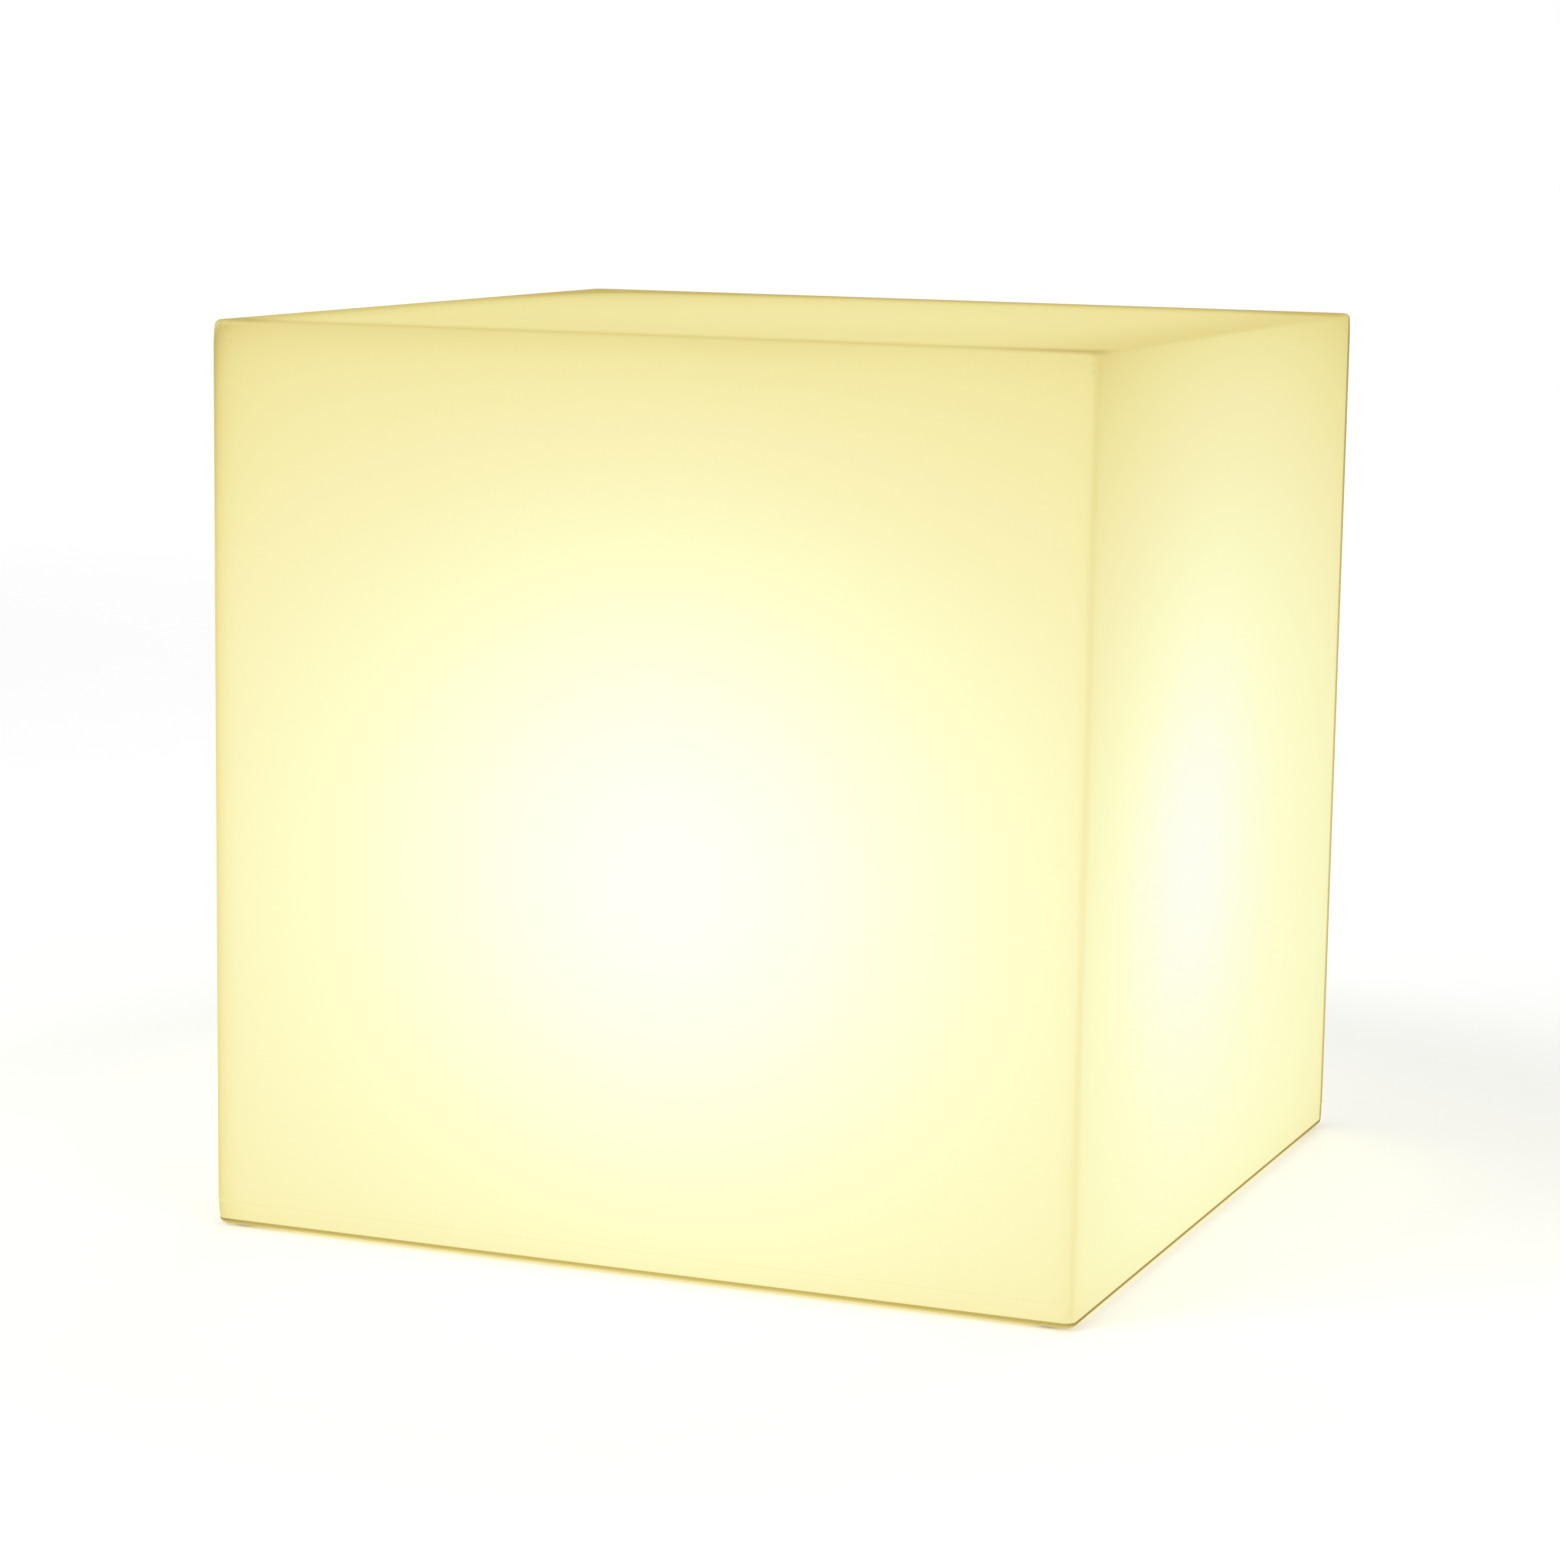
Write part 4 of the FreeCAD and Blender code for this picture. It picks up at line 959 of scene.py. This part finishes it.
@dataclass
class CubeShell:
    """Seamless moulded cube with a recessed base, a standing rim and a round hole for the lamp unit."""

    half: float = 200 * MM
    bottom: float = 1 * MM
    top: float = 401 * MM
    wall: float = 4 * MM
    edge: float = 2.2 * MM
    upright_edge: float = 3.2 * MM
    ball_corner: float = 3 * MM
    ball_fade: float = 4 * MM
    inner_edge: float = 6 * MM
    inner_corner: float = 1 * MM
    parting: float = 11.6 * MM
    parting_step: float = 0.15 * MM
    parting_rows: Profile = ((0.3, 0.15), (0.1, 0.5), (-0.1, 1.0), (-0.35, 1.25), (-0.7, 1.0), (-2.5, 1.0))
    parting_rise: float = 0.6 * MM
    dense_rows: float = 14 * MM
    recess_half: float = 176 * MM
    recess_corner: float = 16 * MM
    recess_lean: float = 1.2 * MM
    rim_round: float = 2 * MM
    recess_fillet: float = 2 * MM
    panel_under: float = 17 * MM
    hole_radius: float = 64 * MM
    hole_corner_share: float = 0.6
    face_sink: float = 0.12 * MM
    notch_half: float = 5 * MM
    notch_crown: float = 10.5 * MM
    screw_circle: float = 71.5 * MM
    screw_first: float = 30.0
    screw_count: int = 6
    boss_radius: float = 6 * MM
    boss_top: float = 29 * MM
    insert_radius: float = 3.05 * MM
    insert_top: float = 26 * MM
    foot_middle: float = 188 * MM
    foot_radius: float = 8.05 * MM
    foot_top: float = 3 * MM
    foot_skin: float = 2 * MM
    foot_skin_top: float = 6 * MM
    overlap: float = 1 * MM

    def build(self) -> None:
        """Build the shell as one closed surface, cut its openings and dress it."""
        shell = self.surface().piece("cube_shell_moulding")
        combined(shell, self.additions())
        combined(shell, self.openings())
        shell.data.set_sharp_from_angle(angle=math.radians(30.0))
        place_piece(shell, "cube", "translucent_polyethylene", GlowingPolyethylene(), "cube_shell")

    def ball(self, level: np.ndarray) -> np.ndarray:
        """Extra corner radius near the top and the underside: ball_corner exp(-distance / fade)."""
        away = np.minimum(self.top - level, level - self.bottom)
        return self.ball_corner * np.exp(-away / self.ball_fade)

    def profile(self) -> np.ndarray:
        """Rows of half width, corner radius, level and roundness, from the outer to the inner pole."""
        return np.concatenate([*self.outside_rows(), *self.recess_rows(), *self.inside_rows()])

    def outside_rows(self) -> list[np.ndarray]:
        """Rows of the outside.

        It falls from the middle of the top over the edge's quarter circle, down the wall and its
        parting step, and round the bottom edge.
        """
        edge = self.edge
        tight = self.upright_edge - edge
        sin, cos = quarter_circle(8)
        share = np.array([0.04, 0.15, 0.3, 0.5, 0.7, 0.85, 0.95])
        top = rows(share * (self.half - edge), share * (tight + self.ball_corner), self.top)
        level = self.top - edge + edge * cos
        shoulder = rows(self.half - edge + edge * sin, tight + edge * sin + self.ball(level), level)
        upper = self.top - self.dense_rows
        lower = self.parting + self.parting_rise
        level = np.append(np.linspace(self.top - edge, upper, 8)[1:], np.linspace(upper, lower, 25)[1:])
        wall = rows(self.half, self.upright_edge + self.ball(level), level)
        rise, share = np.array(self.parting_rows).T
        inset, level = self.parting_step * share, self.parting + rise * MM
        parting = rows(self.half - inset, self.upright_edge - inset + self.ball(level), level)
        base, corner = self.half - self.parting_step, self.upright_edge - self.parting_step
        level = np.linspace(self.parting + rise[-1] * MM, self.bottom + edge, 6)[1:-1]
        below = rows(base, corner + self.ball(level), level)
        level = self.bottom + edge - edge * sin
        foot = rows(base - edge + edge * cos, corner - edge + edge * cos + self.ball(level), level)
        return [top, shoulder, wall, parting, below, foot]

    def recess_rows(self) -> list[np.ndarray]:
        """Rows of the base: under the rim, up the recess wall, across the panel, up through the hole."""
        base = self.half - self.parting_step - self.edge
        corner = self.upright_edge - self.parting_step - self.edge + self.ball_corner
        mouth, mouth_corner = self.recess_half + self.rim_round, self.recess_corner + self.rim_round
        share = np.array([0.3, 0.7])
        under = rows(base + share * (mouth - base), corner + share * (mouth_corner - corner), self.bottom)
        sin, cos = quarter_circle(8)
        inset = self.rim_round * sin
        lip = rows(mouth - inset, mouth_corner - inset, self.bottom + self.rim_round * (1.0 - cos))
        fillet = self.recess_fillet
        share = np.linspace(0.0, 1.0, 4)[1:]
        inset = share * self.recess_lean
        low = self.bottom + self.rim_round
        wall = rows(self.recess_half - inset, self.recess_corner - inset,
                    low + share * (self.panel_under - fillet - low))
        half, corner = self.recess_half - self.recess_lean, self.recess_corner - self.recess_lean
        sin, cos = quarter_circle(5)
        inset = fillet * (1.0 - cos[1:])
        bend = rows(half - inset, corner - inset, self.panel_under - fillet + fillet * sin[1:])
        hole_corner = self.hole_radius * self.hole_corner_share
        panel = self.across_rows(half - fillet, corner - fillet, (0.15, 0.35, 0.55, 0.75, 0.9),
                                 self.panel_under)
        hole = rows(self.hole_radius, hole_corner, np.array([0.0, self.wall]) + self.panel_under, 1.0)
        skin = self.across_rows(half + self.wall, corner + self.wall, (0.9, 0.75, 0.55, 0.35, 0.15, 0.0),
                                self.panel_under + self.wall)
        return [under, lip, wall, bend, panel, hole, skin]

    def across_rows(self, half: float, corner: float, shares: Sequence[float], level: float) -> np.ndarray:
        """Rows between the recess wall and the hole, rounder towards the hole by the share squared."""
        share = np.array(shares)
        hole_corner = self.hole_radius * self.hole_corner_share
        return rows(half + share * (self.hole_radius - half), corner + share * (hole_corner - corner),
                    level, share ** 2)

    def inside_rows(self) -> list[np.ndarray]:
        """Rows of the inside: over the rim's skin, up the wall and to the middle of the ceiling."""
        low, ceiling = self.bottom + self.wall, self.top - self.wall
        inner, corner = self.inner_edge, self.inner_corner
        flat = self.half - self.wall - inner
        rim = rows(np.array([self.recess_half + self.wall, flat]),
                   np.array([self.recess_corner + self.wall, corner]), low)
        sin, cos = (part[1:] for part in quarter_circle(8))
        floor = rows(flat + inner * sin, corner + inner * sin, low + inner - inner * cos)
        wall = rows(flat + inner, corner + inner, np.linspace(low + inner, ceiling - inner, 12)[1:])
        shoulder = rows(flat + inner * cos, corner + inner * cos, ceiling - inner + inner * sin)
        share = np.array([0.9, 0.7, 0.4, 0.1])
        return [rim, floor, wall, shoulder, rows(share * flat, share * corner, ceiling)]

    def surface(self) -> Skin:
        """Skin the profile and let the faces sink a little, as a cooling moulding's do.

        A wall's sink is face_sink (1 - s^2)(1 - t^2), with s and t running from -1 to 1 over it.
        """
        half, corner, level, roundness = self.profile().T
        rings = SquareLoop().rings(half, corner, level, roundness)
        x, y, z = rings[..., 0], rings[..., 1], rings[..., 2]
        middle = (self.top + self.bottom) / 2.0
        tall = np.clip(np.abs(z - middle) / (self.half - self.edge), 0.0, 1.0)
        broad = np.clip(np.minimum(np.abs(x), np.abs(y)) / (self.half - self.edge), 0.0, 1.0)
        sink = self.face_sink * (1.0 - tall ** 2) * (1.0 - broad ** 2)
        wide = np.abs(x) > np.abs(y)
        at_wall = np.maximum(np.abs(x), np.abs(y)) > self.half - self.wall / 2.0
        x -= np.sign(x) * sink * wide * at_wall
        y -= np.sign(y) * sink * ~wide * at_wall
        reach = np.maximum(np.abs(x), np.abs(y)) / (self.half - self.edge)
        on_top = z > self.top - 0.01 * MM
        z -= self.face_sink * np.clip(1.0 - reach ** 2, 0.0, 1.0) * on_top
        return loops_surface(rings, np.array([0.0, 0.0, self.top - self.face_sink]),
                             np.array([0.0, 0.0, self.top - self.wall]))

    def screw_places(self) -> list[tuple[float, float]]:
        """Places of the six fixings round the hole."""
        step = 360.0 / self.screw_count
        angles = [math.radians(self.screw_first + step * i) for i in range(self.screw_count)]
        return [(self.screw_circle * math.cos(a), self.screw_circle * math.sin(a)) for a in angles]

    def arch(self, grow: float, front: float, rear: float) -> Skin:
        """Arched way through the rear rim, or its skin.

        Args:
            grow: How much wider and higher it is than the way itself.
            front: Where it starts, along Y.
            rear: Where it ends.

        Returns:
            A straight-sided arch, two legs below a half circle, carried along Y.
        """
        radius = self.notch_half + grow
        crown = self.notch_crown + grow
        turn = np.linspace(0.0, math.pi, 21)
        across = np.concatenate([[radius], radius * np.cos(turn), [-radius]])
        foot = self.bottom - (0.5 * MM if grow == 0 else -0.2 * MM)
        height = np.concatenate([[foot], crown - radius + radius * np.sin(turn), [foot]])
        rings = np.stack([
            np.stack([across, np.full_like(across, depth), height], axis=-1) for depth in (rear, front)])
        poles = [np.array([0.0, depth, crown - radius]) for depth in (rear, front)]
        return loops_surface(rings, poles[0], poles[1])

    def additions(self) -> list[tuple[Skin, str]]:
        """Bosses for the threaded inserts, skin of the cord notch and skins over the foot pockets."""
        skins = [post(self.boss_radius, self.panel_under + self.overlap, self.boss_top, x, y)
                 for x, y in self.screw_places()]
        skins.append(self.arch(self.wall, self.recess_half + self.overlap, self.half - self.overlap))
        skins += [post(self.foot_radius + self.foot_skin, self.bottom + self.overlap,
                       self.bottom + self.foot_skin_top, x, y)
                  for x, y in corner_places(self.foot_middle)]
        return [(skin, "UNION") for skin in skins]

    def openings(self) -> list[tuple[Skin, str]]:
        """Insert holes, foot pockets and the cord notch.

        Known fault: the notch's cut takes nothing away, so the rear rim stays closed there. The
        likely cause is that the faces of the arch point inwards.
        """
        skins = [post(self.insert_radius, self.panel_under - self.overlap, self.insert_top, x, y)
                 for x, y in self.screw_places()]
        skins += [post(self.foot_radius, self.bottom - self.overlap, self.foot_top, x, y)
                  for x, y in corner_places(self.foot_middle)]
        skins.append(self.arch(0.0, self.recess_half - 6 * MM, self.half + 2 * MM))
        return [(skin, "DIFFERENCE") for skin in skins]


@dataclass
class FootPads:
    """Four soft pads, domed below and pressed into pockets in the rim."""

    middle: float = 188 * MM
    radius: float = 8 * MM
    top: float = 3 * MM
    rim: float = 1 * MM
    edge: float = 0.5 * MM
    flat: float = 0.3

    def build(self) -> None:
        """Build the four pads as one piece."""
        pad = turned_surface(self.profile(), 64)
        pads = Skin.together([pad.moved(x, y) for x, y in corner_places(self.middle)])
        place_piece(pads.piece("domed_foot_pads"), "cube", "black_rubber", SoftRubber("foot_rubber"),
                    "rubber_feet")

    def profile(self) -> list[tuple[float, float]]:
        """Flat top with a rounded edge, upright side, and a dome that is flat where it rests.

        The dome's height is rim (s^2 - f^2) / (1 - f^2) for the share s of the radius, and 0 for s < f.
        """
        turn = np.linspace(0.0, math.pi / 2.0, 6)
        side = [(self.radius - self.edge * (1.0 - math.sin(t)),
                 self.top - self.edge * (1.0 - math.cos(t))) for t in turn]
        shares = np.linspace(1.0, self.flat, 14)
        rise = self.rim * (shares ** 2 - self.flat ** 2) / (1.0 - self.flat ** 2)
        dome = [(share * self.radius, float(level)) for share, level in zip(shares, rise)]
        top = [(share * self.radius, self.top) for share in (0.3, 0.6)]
        return [(0.0, self.top), *top, *side, *dome, (0.5 * self.flat * self.radius, 0.0), (0.0, 0.0)]


@dataclass(frozen=True)
class RolledThread:
    """Round thread rolled into sheet metal, as on a 27 mm screw cap, with the sheet's own size."""

    crest: float
    low: float
    high: float
    pitch: float = 3.629 * MM
    depth: float = 0.65 * MM
    run_out: float = 1.8 * MM
    metal: float = 0.4 * MM
    columns: int = 144

    def radius(self, height: np.ndarray, angle: np.ndarray) -> np.ndarray:
        """Radius of the thread.

        Args:
            height: Heights, in metres.
            angle: Angles round the axis.

        Returns:
            crest - depth w (1 - cos(2 pi z / pitch - angle)) / 2, a right-handed screw, with w going
            from 0 to 1 and back over the run-outs at the low and the high end.
        """
        wave = 0.5 * (1.0 - np.cos(TURN * height / self.pitch - angle))
        start = np.clip((height - self.low) / self.run_out, 0.0, 1.0)
        end = np.clip((self.high - height) / self.run_out, 0.0, 1.0)
        share = np.minimum(start, end)
        return self.crest - self.depth * wave * share ** 2 * (3.0 - 2.0 * share)


@dataclass
class BulbCap:
    """Screw cap of the bulb, rolled from thin sheet, with a bevelled lower end."""

    thread: RolledThread = RolledThread(13.2 * MM, 88 * MM, 108 * MM)
    bottom: float = 90.2 * MM
    top: float = 111.6 * MM
    lip: float = 11.2 * MM
    rows: int = 100

    def build(self) -> None:
        """Build the cap."""
        metal = self.thread.metal
        outside = np.linspace(self.top, self.bottom, self.rows)
        inside = np.linspace(self.bottom + metal, self.top, self.rows)
        rings = np.concatenate([self.sheet(outside, 0.0), self.sheet(inside, metal)])
        cap = loops_surface(rings).piece("rolled_bulb_cap")
        place_piece(cap, "bulb", "nickel_shell", NICKEL, "bulb_cap")

    def sheet(self, levels: np.ndarray, inset: float) -> np.ndarray:
        """Rings of one side of the sheet.

        The radius is the smaller of the thread's and of a 45 degree cone above the lip, less the inset.
        """
        height, angle = levels[:, None], round_angles(self.thread.columns)
        cone = self.lip + (height - inset - self.bottom)
        return round_points(np.minimum(self.thread.radius(height, angle), cone) - inset, angle, height)


@dataclass
class HolderShell:
    """Screw shell of the lampholder, rolled from thin sheet round the cap's thread."""

    thread: RolledThread = RolledThread(13.31 * MM, 90.5 * MM, 105 * MM)
    bottom: float = 87 * MM
    top: float = 110 * MM
    rows: int = 110

    def build(self) -> None:
        """Build the shell: its inside at the thread's radius, its outside one metal thickness more."""
        angle = round_angles(self.thread.columns)
        height = np.linspace(self.top, self.bottom, self.rows)[:, None]
        inner = self.thread.radius(height, angle)
        radius = np.concatenate([inner + self.thread.metal, inner[::-1]])
        rings = round_points(radius, angle, np.concatenate([height, height[::-1]]))
        shell = loops_surface(rings).piece("rolled_holder_shell")
        place_piece(shell, "lamp_unit", "nickel_shell", NICKEL, "lampholder_screw_shell")


# Studio


@dataclass(frozen=True)
class SoftLamp:
    """Square lamp that faces the cube's middle."""

    name: str
    place: Place
    size: float
    power: float

    def hang(self, towards: Place) -> None:
        """Hang the lamp so that it faces a place."""
        data = bpy.data.lights.new(self.name, "AREA")
        data.shape, data.size, data.energy = "SQUARE", self.size, self.power
        lamp = bpy.data.objects.new(self.name, data)
        turn = (Vector(towards) - Vector(self.place)).to_track_quat("-Z", "Y")
        lamp.matrix_world = Matrix.Translation(self.place) @ turn.to_matrix().to_4x4()
        bpy.context.scene.collection.objects.link(lamp)


@dataclass
class Studio:
    """Pale floor, soft lamps, plain surroundings and the camera."""

    middle: Place = (0.0, 0.0, 0.2)
    lamps: tuple[SoftLamp, ...] = (
        SoftLamp("key_lamp", (-1.6, -2.2, 2.6), 2.0, 38.0),
        SoftLamp("fill_lamp", (2.4, -1.4, 1.8), 2.4, 20.0),
        SoftLamp("rear_lamp", (0.2, 2.6, 2.2), 2.4, 14.0))
    lens: float = 97.56
    sensor: float = 36.0
    azimuth: float = 0.381065
    elevation: float = 0.157930
    roll: float = 0.015426
    place: Place = (0.708986, -1.802363, 0.494794)
    floor_half: float = 6.0
    floor_level: float = -0.05 * MM
    floor_lack: float = 0.27
    lack_past_cube: float = 0.07
    cube_glow_end: tuple[float, float] = (0.42, 0.6)
    lack_far_off: float = 0.22
    lamps_end: tuple[float, float] = (1.6, 4.6)
    around_light: float = 0.45

    def build(self) -> None:
        """Set up the view, the floor and the lamps."""
        self.camera()
        self.floor()
        self.surroundings()
        for lamp in self.lamps:
            lamp.hang(self.middle)
        bpy.context.scene.view_settings.view_transform = "Standard"

    def camera(self) -> None:
        """Place the camera by its azimuth, elevation and roll, looking level with its own axes."""
        azimuth, elevation = self.azimuth, self.elevation
        back = Vector((math.sin(azimuth) * math.cos(elevation),
                       -math.cos(azimuth) * math.cos(elevation), math.sin(elevation)))
        right = Vector((math.cos(azimuth), math.sin(azimuth), 0.0))
        up = back.cross(right)
        tilted_right = math.cos(self.roll) * right + math.sin(self.roll) * up
        tilted_up = math.cos(self.roll) * up - math.sin(self.roll) * right
        turn = Matrix((tilted_right, tilted_up, back)).transposed()
        data = bpy.data.cameras.new("camera")
        data.sensor_fit = "HORIZONTAL"
        data.sensor_width = self.sensor
        data.lens = self.lens
        data.clip_start, data.clip_end = 0.05, 50.0
        camera = bpy.data.objects.new("camera", data)
        camera.matrix_world = Matrix.Translation(self.place) @ turn.to_4x4()
        bpy.context.scene.collection.objects.link(camera)
        bpy.context.scene.camera = camera

    def floor(self) -> None:
        """Lay a white floor that keeps the object's shadow.

        Seen by the camera, in gloss or through glass it also gives off the light that open floor
        lacks to be white. That share steps up past the cube's bright surroundings and grows with
        the distance from the lamps, and it leaves the shadow beside the cube below white.
        """
        reach = np.array([-self.floor_half, self.floor_half])
        x, y = np.meshgrid(reach, reach, indexing="ij")
        points = np.stack([x, y, np.full_like(x, self.floor_level)], axis=-1).reshape(-1, 3)
        floor = Skin(points, np.array([[0, 2, 3, 1]]), np.empty((0, 3), int)).piece("floor")
        graph = ShaderGraph("floor_white")
        speckle = graph.noise(0.02, 2.0)
        graph.set("Base Color", graph.blend(speckle, (0.9, 0.9, 0.9), (0.88, 0.88, 0.88)))
        graph.set("Roughness", 0.9)
        graph.set("Emission Color", (1.0, 1.0, 1.0))
        x_place, y_place, _ = graph.parts(graph.place())
        away = (x_place.squared() + y_place.squared()).root()
        lacking = self.floor_lack + self.lack_past_cube * away.fade(*self.cube_glow_end)
        lacking = lacking + self.lack_far_off * away.fade(*self.lamps_end)
        graph.set("Emission Strength", graph.seen() * lacking)
        floor.data.materials.append(graph.material)

    def surroundings(self) -> None:
        """White all round as seen, and a softer even light on the object."""
        world = bpy.data.worlds.new("surroundings")
        world.use_nodes = True
        graph = NodeGraph(world.node_tree)
        sky = graph.add("ShaderNodeBackground")
        graph.put(sky.inputs["Color"], (1.0, 1.0, 1.0))
        graph.put(sky.inputs["Strength"], self.around_light + (1.0 - self.around_light) * graph.seen())
        output = graph.add("ShaderNodeOutputWorld")
        graph.put(output.inputs["Surface"], sky.outputs["Background"])
        bpy.context.scene.world = world


FINISHES: dict[str, Finish] = {
    "black_rubber": SoftRubber("foot_rubber"),
    "seal_rubber": SoftRubber("seal_rubber", (0.05, 0.05, 0.052), (0.1, 0.1, 0.1)),
    "brass": WorkedMetal("turned_brass", (0.78, 0.57, 0.26), Lay.TURNED, 0.28, (0.35, 0.22, 0.08)),
    "base_plastic": MouldedPlastic("base_white_plastic", (0.74, 0.73, 0.70), 0.5),
    "zinc_steel": WorkedMetal("zinc_plated_steel", (0.62, 0.63, 0.65), Lay.PLATED, 0.36),
    "gland_plastic": MouldedPlastic("gland_black_nylon", (0.03, 0.03, 0.032), 0.42),
    "terminal_plastic": MouldedPlastic("terminal_cream_plastic", (0.72, 0.69, 0.60), 0.4),
    "brown_lead": MouldedPlastic("brown_lead_sleeve", (0.13, 0.05, 0.02), 0.38),
    "blue_lead": MouldedPlastic("blue_lead_sleeve", (0.02, 0.09, 0.42), 0.38),
    "lampholder_plastic": MouldedPlastic("lampholder_white_plastic", (0.76, 0.75, 0.72), 0.48),
    "nickel_shell": NICKEL,
    "solder_contact": WorkedMetal("solder_tin", (0.62, 0.62, 0.60), Lay.PLATED, 0.42),
    "cap_glass": MouldedPlastic("black_cap_glass", (0.012, 0.012, 0.014), 0.12, grain_depth=0.000005),
    "bulb_body_plastic": MouldedPlastic("bulb_white_plastic", (0.80, 0.80, 0.79), 0.32),
    "sink_aluminium": WorkedMetal("pressed_aluminium", (0.72, 0.73, 0.74), Lay.TURNED, 0.38),
    "board_white": CircuitBoard("led_board_white", (0.78, 0.78, 0.76), (0.66, 0.66, 0.64)),
    "led_phosphor": LitPlastic("led_phosphor", (0.85, 0.62, 0.12), (1.0, 0.86, 0.5), 1.2, 0.001),
    "board_green": CircuitBoard("driver_board_green", (0.02, 0.14, 0.05), (0.10, 0.26, 0.10)),
    "component_black": MouldedPlastic("component_black", (0.025, 0.025, 0.028), 0.4),
    "opal_diffuser": LitPlastic("opal_globe", (0.80, 0.79, 0.74), (1.0, 0.92, 0.70), 0.38),
}


def dress_packed_nodes() -> None:
    """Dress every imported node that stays, by the record's slot of its sub-part."""
    slots = {part["node"]: part["material_slot"] for part in frame["record"]["subparts"]}
    for slot, finish in FINISHES.items():
        nodes = [n for n in frame["nodes"] if slots[n] == slot and not frame["nodes"][n].hide_render]
        if nodes:
            dress(nodes, finish)


def main() -> None:
    """Build every assembly in order."""
    logging.basicConfig(level=logging.INFO, format="%(message)s")
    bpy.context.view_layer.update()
    for part in (CubeShell(), FootPads(), BulbCap(), HolderShell(), Studio()):
        log.info("building %s", type(part).__name__)
        part.build()
    dress_packed_nodes()


if __name__ == "__main__":
    main()
